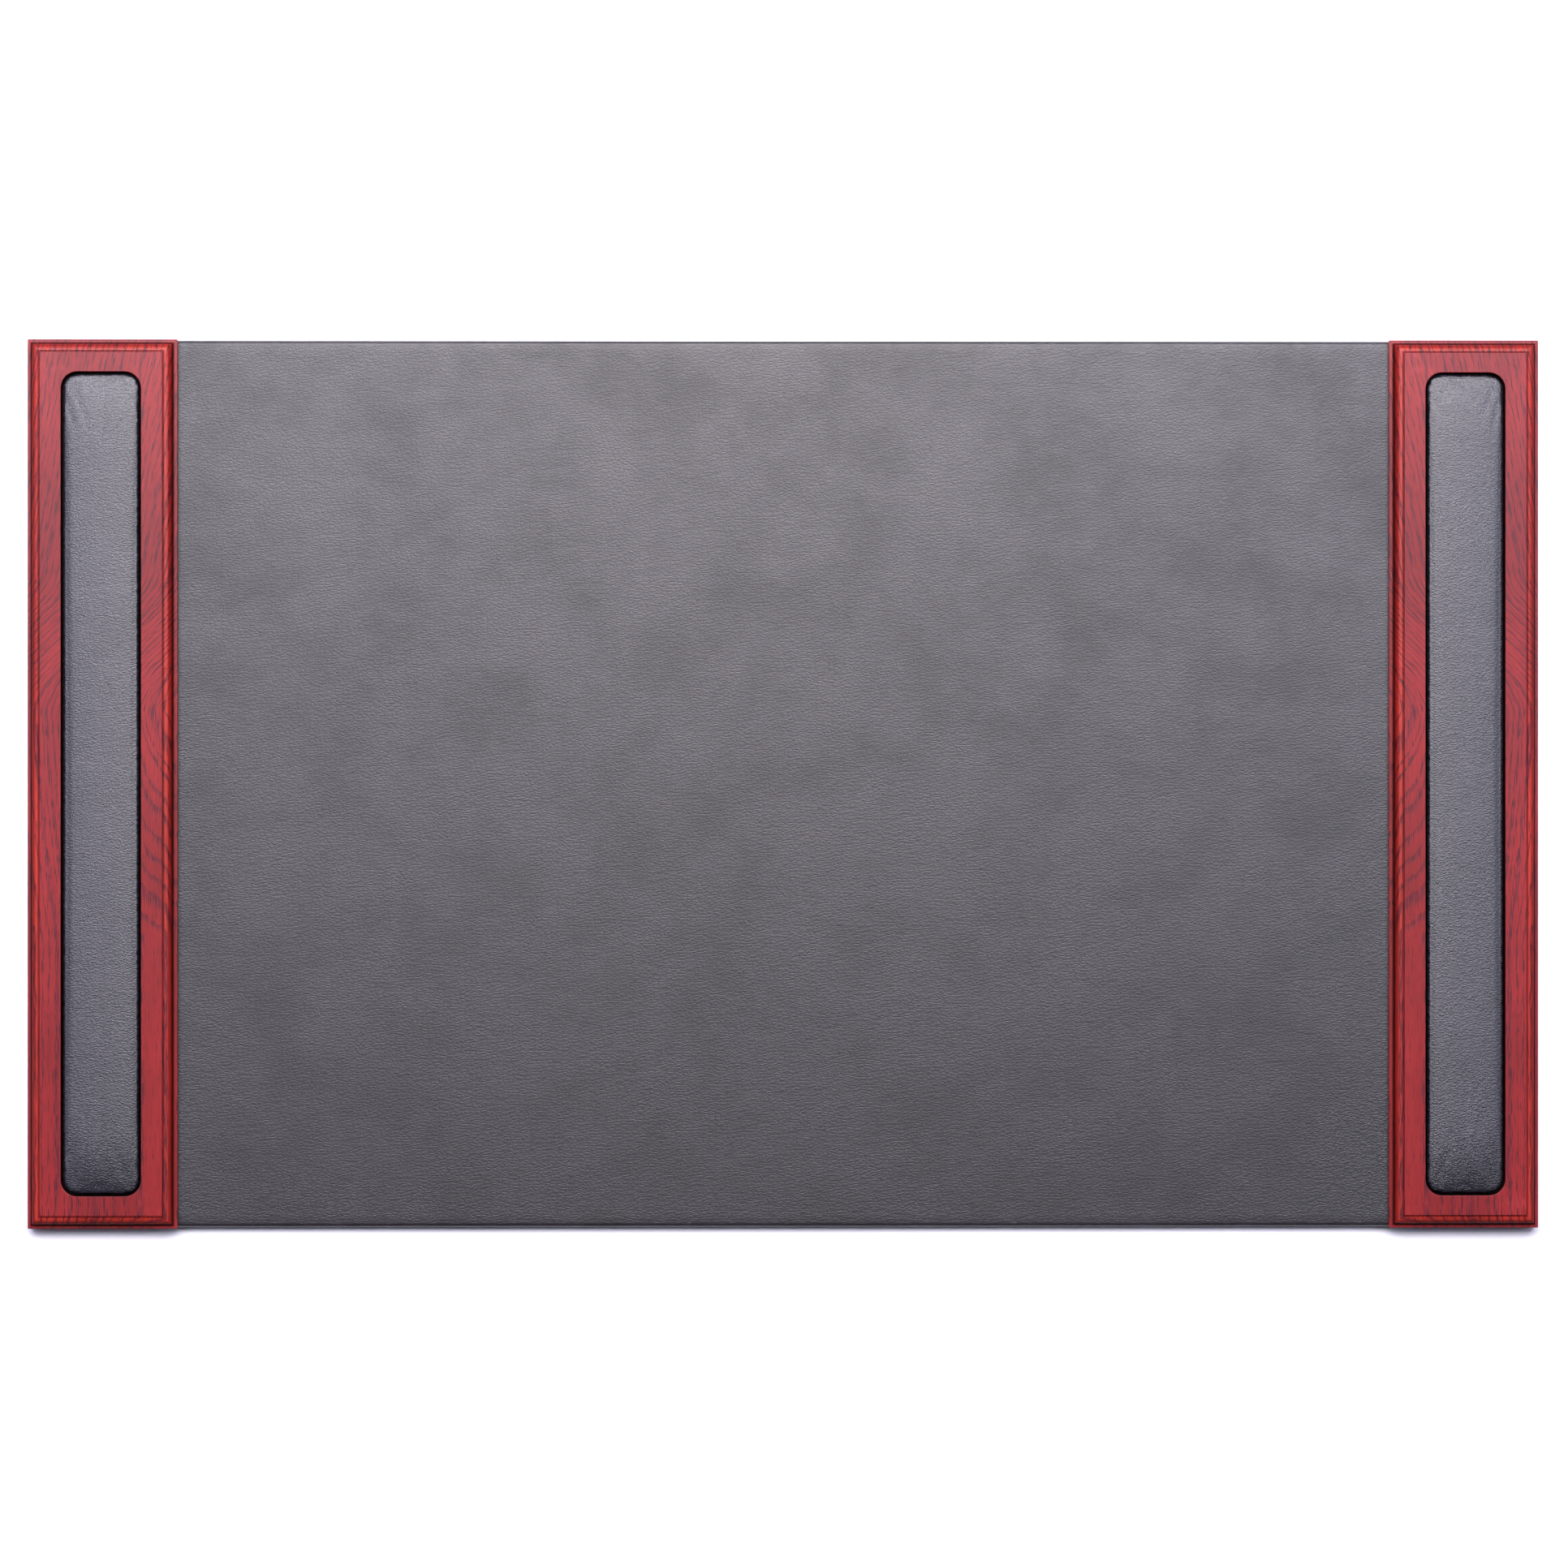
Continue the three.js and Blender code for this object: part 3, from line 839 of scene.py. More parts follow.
def rail_mesh(name, settings, low, high):
    centre_x = (low.x + high.x) / 2
    half_x, half_y = (high.x - low.x) / 2, (high.y - low.y) / 2
    bottom, top = low.z, high.z
    stations = straight_stations(settings)
    corner_ease = settings.easing
    rings = [
        ring_from(
            square_corner(half_x - inset, half_y - inset, stations, corner_ease), height, centre_x
        )
        for inset, height in moulding_section(settings, bottom, top)
    ]
    pocket_x, pocket_y = settings.pocket_width / 2, settings.pocket_length / 2
    ease = settings.pocket_easing
    floor = top - settings.pocket_depth
    edge = [(ease * 1.4, top)] + [
        (ease - x, top - ease + z) for x, z in arc((0, 0), ease, 90, 0, 4)
    ]
    edge += [(0, top - ease * 1.4), (0, floor + ease * 1.4)]
    edge += [(-x, floor + ease - z) for x, z in arc((ease, 0), ease, 180, 90, 4)]
    for outset, height in edge:
        corner = round_corner(
            pocket_x + outset, pocket_y + outset, settings.pocket_radius + outset
        )
        rings.append(ring_from(corner, height, centre_x))
    points, faces = loft(rings)
    return mesh_from(name, points, faces)


def cut_with(piece, cutters):
    """Cuts the cutters out of the piece and removes them."""
    for cutter in cutters:
        boolean = piece.modifiers.new("cut", "BOOLEAN")
        boolean.operation = "DIFFERENCE"
        boolean.solver = "EXACT"
        boolean.object = cutter
    bake_modifiers(piece)
    for cutter in cutters:
        mesh = cutter.data
        bpy.data.objects.remove(cutter)
        bpy.data.meshes.remove(mesh)


def box_cutter(low, high):
    corners = [(low.x, low.y), (high.x, low.y), (high.x, high.y), (low.x, high.y)]
    points, faces = loft([[(x, y, z) for x, y in corners] for z in (low.z, high.z)])
    return add_object("cutter", mesh_from("cutter", points, faces))


def shank_cutter(centre, radius, bottom, top):
    angles = [TAU * i / HOLE_SIDES for i in range(HOLE_SIDES)]
    circle = [(centre.x + radius * math.cos(a), centre.y + radius * math.sin(a)) for a in angles]
    points, faces = loft([[(x, y, z) for x, y in circle] for z in (bottom, top)])
    return add_object("cutter", mesh_from("cutter", points, faces))


def screw_centres(side):
    """The middle of each screw's head face on one rail."""
    boxes = [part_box(f"{side}_screw_{i + 1}") for i in range(SCREWS_PER_RAIL)]
    return [
        Vector(((low[0] + high[0]) / 2, (low[1] + high[1]) / 2, low[2])) for low, high in boxes
    ]


def drill(context, piece, bottom, *sides):
    """Bores the screws' holes up through a piece from just below its bottom."""
    radius = context.scene.desk_mat_screws.shank_radius + 0.15 * MM
    cutters = []
    for side in sides or ("left", "right"):
        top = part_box(f"{side}_screw_1")[1][2] + 0.4 * MM
        cutters += [shank_cutter(c, radius, bottom - MM, top) for c in screw_centres(side)]
    cut_with(piece, cutters)


class DESKMAT_OT_rails(bpy.types.Operator):
    """Make the two moulded rails, each with its pocket, rebate and screw holes"""

    bl_idname = "desk_mat.rails"
    bl_label = "Make Rails"

    def execute(self, context):
        settings = context.scene.desk_mat_rails
        material = make_stained_oak(settings)
        panel_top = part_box("leather_surface")[1][2]
        for side, sign in SIDES:
            node = f"{side}_rail"
            low, high = (Vector(c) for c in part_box(node))
            piece = add_object(f"{side}_moulded_rail", rail_mesh(node, settings, low, high))
            inner = low.x if sign > 0 else high.x
            margin = 5 * MM
            reach = (inner + sign * settings.overlap, inner - sign * margin)
            rebate = box_cutter(
                Vector((min(reach), low.y - margin, low.z - margin)),
                Vector((max(reach), high.y + margin, panel_top + 0.2 * MM)),
            )
            cut_with(piece, [rebate])
            drill(context, piece, low.z, side)
            shade(piece.data)
            finish_piece(piece, material, "stained_oak", node)
        return {"FINISHED"}


# ---- Writing panel ----


SKIN_STEPS_ALONG = 150
SKIN_STEPS_DEEP = 110
TURN_STEPS = 7


def skin_section(settings, low, high):
    """The skin's outside line as (y, z), from under the front edge over to the back one."""
    upper, lower = settings.edge_radius, settings.lower_radius
    front = low.y
    turned_in = front + settings.turn_under
    line = [(turned_in + (front + lower - turned_in) * i / 4, low.z) for i in range(4)]
    line += arc((front + lower, low.z + lower), lower, 270, 180, 4)
    line += arc((front + upper, high.z - upper), upper, 180, 90, TURN_STEPS)
    flat = high.y - low.y - 2 * upper
    top = [(front + upper + flat * i / SKIN_STEPS_DEEP, high.z) for i in range(1, SKIN_STEPS_DEEP)]
    middle = (low.y + high.y) / 2
    return line + top + [(2 * middle - y, z) for y, z in reversed(line)]


def section_curve(name, line):
    """A curve object for sweeping along X, which turns a section's two axes half round."""
    curve = bpy.data.curves.new(name, "CURVE")
    curve.dimensions = "3D"
    spline = curve.splines.new("POLY")
    spline.points.add(len(line) - 1)
    for point, (a, b) in zip(spline.points, line, strict=True):
        point.co = (-a, -b, 0, 1)
    return add_object(name, curve)


def build_swept_skin(name):
    """Sweeps a section along X and gives its flat top slow waves that die out at the ends."""
    group, given, result = new_group(
        name,
        [
            ("Geometry", "NodeSocketGeometry", None),
            ("Section", "NodeSocketObject", None),
            ("Start", "NodeSocketFloat", -0.36),
            ("End", "NodeSocketFloat", 0.36),
            ("Steps", "NodeSocketInt", SKIN_STEPS_ALONG),
            ("Swell", "NodeSocketFloat", 0.1 * MM),
            ("Top", "NodeSocketFloat", 7 * MM),
            ("Fade From", "NodeSocketFloat", 0.33),
            ("Fade To", "NodeSocketFloat", 0.345),
            ("Seed", "NodeSocketFloat", 3.0),
            ("Leather", "NodeSocketMaterial", None),
        ],
        [("Geometry", "NodeSocketGeometry")],
        "GeometryNodeTree",
    )
    get = given.outputs
    start = add_node(group, "ShaderNodeCombineXYZ", {0: get["Start"]}).outputs[0]
    end = add_node(group, "ShaderNodeCombineXYZ", {0: get["End"]}).outputs[0]
    line = add_node(group, "GeometryNodeCurvePrimitiveLine", {"Start": start, "End": end})
    count = sum_of(group, "ADD", get["Steps"], 1.0)
    rail = add_node(
        group, "GeometryNodeResampleCurve", {"Curve": line.outputs["Curve"], "Count": count}
    )
    section = add_node(group, "GeometryNodeObjectInfo", {"Object": get["Section"]})
    swept = add_node(
        group,
        "GeometryNodeCurveToMesh",
        {"Curve": rail.outputs["Curve"], "Profile Curve": section.outputs["Geometry"]},
    )
    place = add_node(group, "GeometryNodeInputPosition").outputs[0]
    parts = add_node(group, "ShaderNodeSeparateXYZ", {0: place}).outputs
    on_top = remap(group, parts["Z"], sum_of(group, "SUBTRACT", get["Top"], 0.4 * MM), get["Top"])
    aside = sum_of(group, "ABSOLUTE", parts["X"])
    off_end = remap(group, aside, get["Fade From"], get["Fade To"], 1.0, 0.0, smooth=False)
    seeded = add_node(group, "ShaderNodeCombineXYZ", {2: get["Seed"]}).outputs[0]
    wave_at = vector_sum(group, "ADD", vector_sum(group, "MULTIPLY", place, (1, 1.3, 0)), seeded)
    waves = noise_value(group, wave_at, 14.0, 2.0, 0.45)
    waves = sum_of(group, "SUBTRACT", waves, 0.62)
    lift = sum_of(group, "MULTIPLY", sum_of(group, "MULTIPLY", waves, get["Swell"]), 2.0)
    lift = sum_of(group, "MULTIPLY", sum_of(group, "MULTIPLY", lift, on_top), off_end)
    offset = add_node(group, "ShaderNodeCombineXYZ", {2: lift}).outputs[0]
    moved = add_node(
        group,
        "GeometryNodeSetPosition",
        {"Geometry": swept.outputs["Mesh"], "Offset": offset},
    )
    real = add_node(group, "GeometryNodeRealizeInstances", {0: moved.outputs[0]})
    painted = add_node(
        group, "GeometryNodeSetMaterial", {"Geometry": real.outputs[0], "Material": get["Leather"]}
    )
    group.links.new(painted.outputs[0], result.inputs["Geometry"])
    return group


def run_nodes(piece, group, values):
    """Puts a node tree on a piece, fills its named inputs and turns the result into a mesh."""
    modifier = piece.modifiers.new(group.name, "NODES")
    modifier.node_group = group
    for item in group.interface.items_tree:
        if item.item_type == "SOCKET" and item.in_out == "INPUT" and item.name in values:
            modifier[item.identifier] = values[item.name]
    bake_modifiers(piece)


class DESKMAT_OT_panel(bpy.types.Operator):
    """Make the writing panel's leather skin and foam, and finish all three boards"""

    bl_idname = "desk_mat.panel"
    bl_label = "Make Writing Panel"

    def execute(self, context):
        settings = context.scene.desk_mat_panel
        low, high = (Vector(c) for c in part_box("leather_surface"))
        leather = make_leather(
            "panel_leather",
            settings.leather,
            pebble=1.7,
            mottle_size=50,
            mottle_depth=0.5,
            roughness=0.36,
            nap=0.085,
            shine=0.55,
            emboss=0.2 * MM,
        )
        line = skin_section(settings, low, high)
        section = section_curve("skin_section", line)
        rail_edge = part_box("right_rail")[0][0]
        skin = add_object("writing_leather", bpy.data.meshes.new("writing_leather"))
        run_nodes(
            skin,
            group_named("Swept Skin", build_swept_skin),
            {
                "Section": section,
                "Start": low.x,
                "End": high.x,
                "Swell": settings.swell,
                "Top": high.z,
                "Fade From": rail_edge - 12 * MM,
                "Fade To": rail_edge,
                "Leather": leather,
            },
        )
        bpy.data.objects.remove(section)
        top_face = max(skin.data.polygons, key=lambda face: face.center.z)
        if top_face.normal.z < 0:
            skin.data.flip_normals()
        wall = skin.modifiers.new("thickness", "SOLIDIFY")
        wall.thickness = settings.leather_thickness
        wall.offset = -1
        bake_modifiers(skin)
        drill(context, skin, low.z)
        shade(skin.data, 60)
        finish_piece(skin, leather, "panel_leather", "leather_surface")
        low, high = (Vector(c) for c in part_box("foam_layer"))
        foam = add_object("writing_foam", sheet_mesh("writing_foam", low, high, 0.2 * MM, 5))
        drill(context, foam, low.z)
        shade(foam.data)
        finish_piece(foam, make_foam(), "foam", "foam_layer")
        board = make_hardboard()
        for node in ("base_board", "left_insert_board", "right_insert_board"):
            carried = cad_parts[node]
            carried.data.materials.clear()
            carried.data.materials.append(board)
        return {"FINISHED"}


# ---- Felts ----


def sheet_mesh(name, low, high, wobble, seed):
    """A thin sheet with eased, slightly uneven cut edges."""
    thickness = high.z - low.z
    ease = min(0.3 * MM, thickness / 3)
    step = 5 * MM
    corners = [(low.x, low.y), (high.x, low.y), (high.x, high.y), (low.x, high.y)]
    outline = []
    for (x0, y0), (x1, y1) in zip(corners, corners[1:] + corners[:1], strict=True):
        steps = max(2, round(math.dist((x0, y0), (x1, y1)) / step))
        outline += [
            (x0 + (x1 - x0) * i / steps, y0 + (y1 - y0) * i / steps) for i in range(steps)
        ]
    middle = (low + high) / 2
    rings = []
    for level, (inset, height) in enumerate(
        [
            (6 * ease, low.z),
            (ease, low.z),
            (0.2 * ease, low.z + ease),
            (0, low.z + thickness / 2),
            (0.2 * ease, high.z - ease),
            (ease, high.z),
            (6 * ease, high.z),
        ]
    ):
        waver = slow_noise([(x, y, level * ease) for x, y in outline], 6 * MM, seed)
        drift = slow_noise([(x, y, 0) for x, y in outline], 60 * MM, seed + 1)
        ring = []
        for (x, y), near, far in zip(outline, waver, drift, strict=True):
            back = inset + wobble * (1 + 0.5 * near + 0.5 * far)
            ring.append(
                Vector(
                    (
                        x - math.copysign(min(back, abs(x - middle.x)), x - middle.x),
                        y - math.copysign(min(back, abs(y - middle.y)), y - middle.y),
                        height,
                    )
                )
            )
        rings.append(ring)
    points, faces = loft(rings)
    return mesh_from(name, points, faces)


class DESKMAT_OT_felts(bpy.types.Operator):
    """Make the three felts of the underside"""

    bl_idname = "desk_mat.felts"
    bl_label = "Make Felts"

    def execute(self, context):
        settings = context.scene.desk_mat_felt
        felt = make_felt(settings)
        for seed, (name, node, under) in enumerate(
            [
                ("panel_felt", "felt_backing", "base_board"),
                ("left_felt", "left_rail_felt", "left_rail"),
                ("right_felt", "right_rail_felt", "right_rail"),
            ]
        ):
            low, high = (Vector(c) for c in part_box(node))
            piece = add_object(name, sheet_mesh(name, low, high, settings.wobble, seed))
            shade(piece.data, 50)
            finish_piece(piece, felt, "felt", node)
        return {"FINISHED"}


# ---- Palm pads ----


FILLING_FRAMES = 20


def pad_ring(half, centre_x, inset, height, radius):
    """One level of a pad, whose corners tighten inwards and are round again at the middle."""
    half_x, half_y = half.x - inset, half.y - inset
    corner = max(radius - inset, 0) + 0.5 * inset
    corner = min(corner, 0.95 * half_x)
    return ring_from(round_corner(half_x, half_y, corner), height, centre_x)


def pad_start(settings, low, high):
    """The cover before it's filled: full size round its board, slack above it."""
    half = (high - low) / 2
    centre_x = (low.x + high.x) / 2
    board_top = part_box("left_insert_board")[1][2]
    slack, droop = settings.slack, settings.droop
    shoulder = high.z - settings.round_height - settings.crown - droop
    section = [(0, low.z - 4 * MM), (0, board_top), (slack, board_top + 1.5 * MM)]
    section.append((slack, shoulder - 0.3 * MM))
    for i in range(9):
        a = math.radians(90 * i / 8)
        section.append(
            (
                slack + settings.round_width * (1 - math.cos(a)),
                shoulder + settings.round_height * math.sin(a),
            )
        )
    first = section[-1]
    last = half.x - 0.8 * MM
    for i in range(1, 9):
        t = i / 8
        section.append((first[0] + (last - first[0]) * t, first[1] + settings.crown * (2 * t - t * t)))
    rings = [pad_ring(half, centre_x, inset, z, settings.corner_radius) for inset, z in section]
    start = half.y - settings.end_reach
    for ring in rings:
        for point in ring:
            down = max(0, abs(point.y) - start) / settings.end_reach
            above = max(0, point.z - board_top) / (high.z - board_top)
            point.z -= settings.end_slope * down * down * above
    return loft(rings)


def fill_cover(context, piece, settings, held_below):
    """Blows the cover up with a short cloth run, as its foam would, then caps the movement."""
    start = coordinates(piece.data)
    normals = np.array([v.normal for v in piece.data.vertices])
    held = start[:, 2] < held_below
    group = piece.vertex_groups.new(name="held")
    group.add([int(i) for i in np.flatnonzero(held)], 1, "REPLACE")
    cloth = piece.modifiers.new("fill", "CLOTH")
    cloth.settings.quality = 6
    cloth.settings.mass = 0.15
    cloth.settings.tension_stiffness = 25
    cloth.settings.compression_stiffness = 25
    cloth.settings.shear_stiffness = 10
    cloth.settings.bending_stiffness = 1.5
    cloth.settings.vertex_group_mass = "held"
    cloth.settings.use_pressure = True
    cloth.settings.uniform_pressure_force = settings.pressure
    cloth.settings.effector_weights.gravity = 0
    for number in range(1, FILLING_FRAMES + 1):
        context.scene.frame_set(number)
    bake_modifiers(piece)
    context.scene.frame_set(1)
    moved = coordinates(piece.data) - start
    inward = np.minimum((moved * normals).sum(axis=1), 0)
    moved -= normals * inward[:, None]
    size = np.linalg.norm(moved, axis=1)
    far = np.maximum(size, 1e-9)
    capped = settings.cap * np.tanh(size / settings.cap)
    moved = moved * (capped / far)[:, None]
    moved[held] = 0
    set_coordinates(piece.data, start + moved)


def outline_distance(points, half, radius):
    """How far round the pad's outline each point lies, from the middle of its right side."""
    flat_x, flat_y = half.x - radius, half.y - radius
    x, y = np.abs(points[:, 0]), np.abs(points[:, 1])
    over_x, over_y = x - flat_x, y - flat_y
    turn = flat_y + radius * np.arctan2(np.maximum(over_y, 0), np.maximum(over_x, 1e-6))
    end = flat_y + radius * math.pi / 2 + (flat_x - x)
    quarter = np.where(over_y <= 0, y, np.where(over_x <= 0, end, turn))
    whole = 4 * (flat_x + flat_y) + TAU * radius
    left, lower = points[:, 0] < 0, points[:, 1] < 0
    upper_half = np.where(left, whole / 2 - quarter, quarter)
    lower_half = np.where(left, whole / 2 + quarter, whole - quarter)
    return np.where(lower, lower_half, upper_half)


def work_leather(piece, settings, low, high):
    """Adds the gathers round the sides and corners and the soft unevenness of the foam."""
    centre = (low + high) / 2
    half = (high - low) / 2
    points = coordinates(piece.data)
    normals = np.array([v.normal for v in piece.data.vertices])
    local = points - np.array(centre)
    around = outline_distance(local, half, settings.corner_radius)
    board_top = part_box("left_insert_board")[1][2]
    height = points[:, 2]
    side = smooth_step(height, board_top - MM, board_top + 2 * MM)
    side *= 1 - smooth_step(normals[:, 2], 0.55, 0.9)
    spacing = settings.gather_spacing
    gathers = slow_noise([(s, 0, 0) for s in around], spacing, 2)
    folds = np.clip(1 - np.abs(gathers) * 3.2, 0, 1)
    strength = 0.55 + 0.45 * slow_noise([(s, 0, 0) for s in around], 9 * spacing, 4)
    over = np.hypot(
        np.maximum(np.abs(local[:, 0]) - half.x + 2 * settings.corner_radius, 0),
        np.maximum(np.abs(local[:, 1]) - half.y + 2 * settings.corner_radius, 0),
    )
    at_corner = smooth_step(over, 1.2 * settings.corner_radius, 2 * settings.corner_radius)
    depth = settings.gather_depth * folds * side * (strength + 0.7 * at_corner)
    above = smooth_step(height, board_top + MM, high.z - 2 * MM)
    lumps = 0.5 * slow_noise(points, 34 * MM, 6) + 0.3 * slow_noise(points, 12 * MM, 7)
    points += normals * (settings.lump * lumps * above - depth)[:, None]
    set_coordinates(piece.data, points)


def cut_level(mesh, level, fill):
    """Removes what lies below a level and, if told to, closes the cut."""
    shell = bmesh.new()
    shell.from_mesh(mesh)
    everything = shell.verts[:] + shell.edges[:] + shell.faces[:]
    cut = bmesh.ops.bisect_plane(
        shell, geom=everything, plane_co=(0, 0, level), plane_no=(0, 0, 1), clear_inner=True
    )
    if fill:
        rim = [e for e in cut["geom_cut"] if isinstance(e, bmesh.types.BMEdge)]
        bmesh.ops.edgeloop_fill(shell, edges=rim)
        bmesh.ops.recalc_face_normals(shell, faces=shell.faces)
    shell.to_mesh(mesh)
    shell.free()


def mirrored(mesh, name):
    """The same mesh on the other side of the middle, still facing outwards."""
    twin = mesh.copy()
    twin.name = name
    points = coordinates(twin)
    points[:, 0] *= -1
    set_coordinates(twin, points)
    twin.flip_normals()
    return twin


class DESKMAT_OT_pads(bpy.types.Operator):
    """Make the two padded palm rests, each a leather cover over foam"""

    bl_idname = "desk_mat.pads"
    bl_label = "Make Palm Pads"

    def execute(self, context):
        settings = context.scene.desk_mat_pads
        low, high = (Vector(c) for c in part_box("left_insert_leather"))
        points, faces = pad_start(settings, low, high)
        cover = add_object("left_pad_cover", mesh_from("left_pad_cover", points, faces))
        even = cover.modifiers.new("even", "REMESH")
        even.mode = "VOXEL"
        even.voxel_size = settings.voxel
        bake_modifiers(cover)
        held_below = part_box("left_insert_board")[1][2]
        fill_cover(context, cover, settings, held_below)

        core_mesh = cover.data.copy()
        inner = coordinates(core_mesh)
        inner -= np.array([v.normal for v in core_mesh.vertices]) * settings.foam_inset
        set_coordinates(core_mesh, inner)
        cut_level(core_mesh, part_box("left_insert_foam")[0][2], fill=True)

        finer = cover.modifiers.new("finer", "SUBSURF")
        finer.levels = 1
        bake_modifiers(cover)
        work_leather(cover, settings, low, high)
        cut_level(cover.data, low.z, fill=False)
        wall = cover.modifiers.new("thickness", "SOLIDIFY")
        wall.thickness = settings.leather_thickness
        wall.offset = -1
        bake_modifiers(cover)

        leather = make_leather(
            "pad_leather",
            settings.leather,
            pebble=1.5,
            mottle_size=40,
            mottle_depth=0.3,
            roughness=0.34,
            nap=0.03,
            shine=0.74,
            emboss=0.27 * MM,
        )
        foam = make_foam()
        core = add_object("left_pad_foam", core_mesh)
        covers = {
            "left": (cover, core),
            "right": (
                add_object("right_pad_cover", mirrored(cover.data, "right_pad_cover")),
                add_object("right_pad_foam", mirrored(core_mesh, "right_pad_foam")),
            ),
        }
        for side, (skin, filling) in covers.items():
            for mesh in (skin.data, filling.data):
                shade(mesh, 60)
            finish_piece(skin, leather, "pad_leather", f"{side}_insert_leather")
            finish_piece(filling, foam, "foam", f"{side}_insert_foam")
        return {"FINISHED"}


# ---- Screws ----


SCREW_SIDES = 32
STEPS_PER_TURN = 7


def cross_outline(reach, width, height):
    arm = [(reach, -width), (reach, width), (width, width)]
    turns = [(1, 0), (0, 1), (-1, 0), (0, -1)]
    return [Vector((x * c - y * s, x * s + y * c, height)) for c, s in turns for x, y in arm]


def screw_mesh(settings, total):
    """A countersunk wood screw that stands on its head, still without its cross recess."""
    angles = [TAU * i / SCREW_SIDES for i in range(SCREW_SIDES)]
    head, shank, root = settings.head_radius, settings.shank_radius, settings.root_radius
    plain = settings.head_height + 0.5 * MM
    rows = [(0, head - 0.2 * MM), (0.08 * MM, head), (0.3 * MM, head)]
    rows += [(settings.head_height, shank), (plain, shank)]
    rings = [[Vector((r * math.cos(a), r * math.sin(a), z)) for a in angles] for z, r in rows]
    steps = round((total - plain) / (settings.thread_pitch / STEPS_PER_TURN))
    for row in range(1, steps + 1):
        z = plain + (total - plain) * row / steps
        taper = min(1, (total - z) / settings.tip * 0.93 + 0.07)
        grown = min(1, (z - plain) / (0.8 * settings.thread_pitch))
        ring = []
        for i, a in enumerate(angles):
            phase = (z / settings.thread_pitch - i / SCREW_SIDES) % 1
            crest = max(0, 1 - abs(phase - 0.5) / 0.24)
            full = root + (shank - root) * (crest if grown >= 1 else 1 - grown * (1 - crest))
            ring.append(Vector((full * taper * math.cos(a), full * taper * math.sin(a), z)))
        rings.append(ring)
    points, faces = loft(rings)
    return mesh_from("screw", points, faces)


def build_screw_row(name):
    """Stands copies of a screw in a row, each turned its own way."""
    group, given, result = new_group(
        name,
        [
            ("Geometry", "NodeSocketGeometry", None),
            ("Screw", "NodeSocketObject", None),
            ("Count", "NodeSocketInt", SCREWS_PER_RAIL),
            ("Start", "NodeSocketVector", None),
            ("Pitch", "NodeSocketVector", None),
            ("Seed", "NodeSocketInt", 1),
            ("Steel", "NodeSocketMaterial", None),
        ],
        [("Geometry", "NodeSocketGeometry")],
        "GeometryNodeTree",
    )
    get = given.outputs
    line = add_node(
        group,
        "GeometryNodeMeshLine",
        {"Count": get["Count"], "Start Location": get["Start"], "Offset": get["Pitch"]},
    )
    source = add_node(group, "GeometryNodeObjectInfo", {"Object": get["Screw"]})
    turned = add_node(group, "FunctionNodeRandomValue", data_type="FLOAT_VECTOR")
    turned.inputs[0].default_value = (0, 0, 0)
    turned.inputs[1].default_value = (0, 0, TAU)
    group.links.new(get["Seed"], turned.inputs["Seed"])
    stood = add_node(
        group,
        "GeometryNodeInstanceOnPoints",
        {
            "Points": line.outputs[0],
            "Instance": source.outputs["Geometry"],
            "Rotation": turned.outputs[0],
        },
    )
    real = add_node(group, "GeometryNodeRealizeInstances", {0: stood.outputs[0]})
    painted = add_node(
        group, "GeometryNodeSetMaterial", {"Geometry": real.outputs[0], "Material": get["Steel"]}
    )
    group.links.new(painted.outputs[0], result.inputs["Geometry"])
    return group


class DESKMAT_OT_screws(bpy.types.Operator):
    """Make the two rows of screws that hold the panel to its rails"""

    bl_idname = "desk_mat.screws"
    bl_label = "Make Screws"

    def execute(self, context):
        settings = context.scene.desk_mat_screws
        steel = make_zinc()
        low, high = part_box("left_screw_1")
        screw = add_object("screw", screw_mesh(settings, high[2] - low[2]))
        reach, width, depth = settings.recess_reach, settings.recess_width, settings.recess_depth
        outlines = [
            cross_outline(reach * 1.06, width * 1.1, -0.3 * MM),
            cross_outline(reach, width, 0),
            cross_outline(reach * 0.6, width * 0.75, 0.8 * depth),
            cross_outline(reach * 0.4, width * 0.7, depth),
        ]
        corners, faces = loft(outlines)
        cut_with(screw, [add_object("cutter", mesh_from("cutter", corners, faces))])
        for seed, (side, _) in enumerate(SIDES):
            centres = screw_centres(side)
            row = add_object(f"{side}_screws", bpy.data.meshes.new(f"{side}_screws"))
            run_nodes(
                row,
                group_named("Screw Row", build_screw_row),
                {
                    "Screw": screw,
                    "Count": len(centres),
                    "Start": tuple(centres[0]),
                    "Pitch": tuple(centres[1] - centres[0]),
                    "Seed": seed,
                    "Steel": steel,
                },
            )
            shade(row.data, 30)
            nodes = [f"{side}_screw_{i + 1}" for i in range(SCREWS_PER_RAIL)]
            finish_piece(row, steel, "zinc_steel", *nodes)
        bpy.data.objects.remove(screw)
        return {"FINISHED"}


# ---- Stage ----


FLOOR_REACH = 6.0
SENSOR_WIDTH = 36
ROOM_STRENGTH = 0.7


def area_light(name, place, target, size, radiance, tint):
    """A soft box of a given brightness, which faces its target."""
    light = bpy.data.lights.new(name, "AREA")
    light.shape = "RECTANGLE"
    light.size, light.size_y = size
    light.energy = radiance * math.pi * size[0] * size[1]
    light.color = tint
    lamp = bpy.data.objects.new(name, light)
    bpy.context.scene.collection.objects.link(lamp)
    lamp.location = place
    lamp.rotation_euler = (Vector(target) - Vector(place)).to_track_quat("-Z", "Y").to_euler()


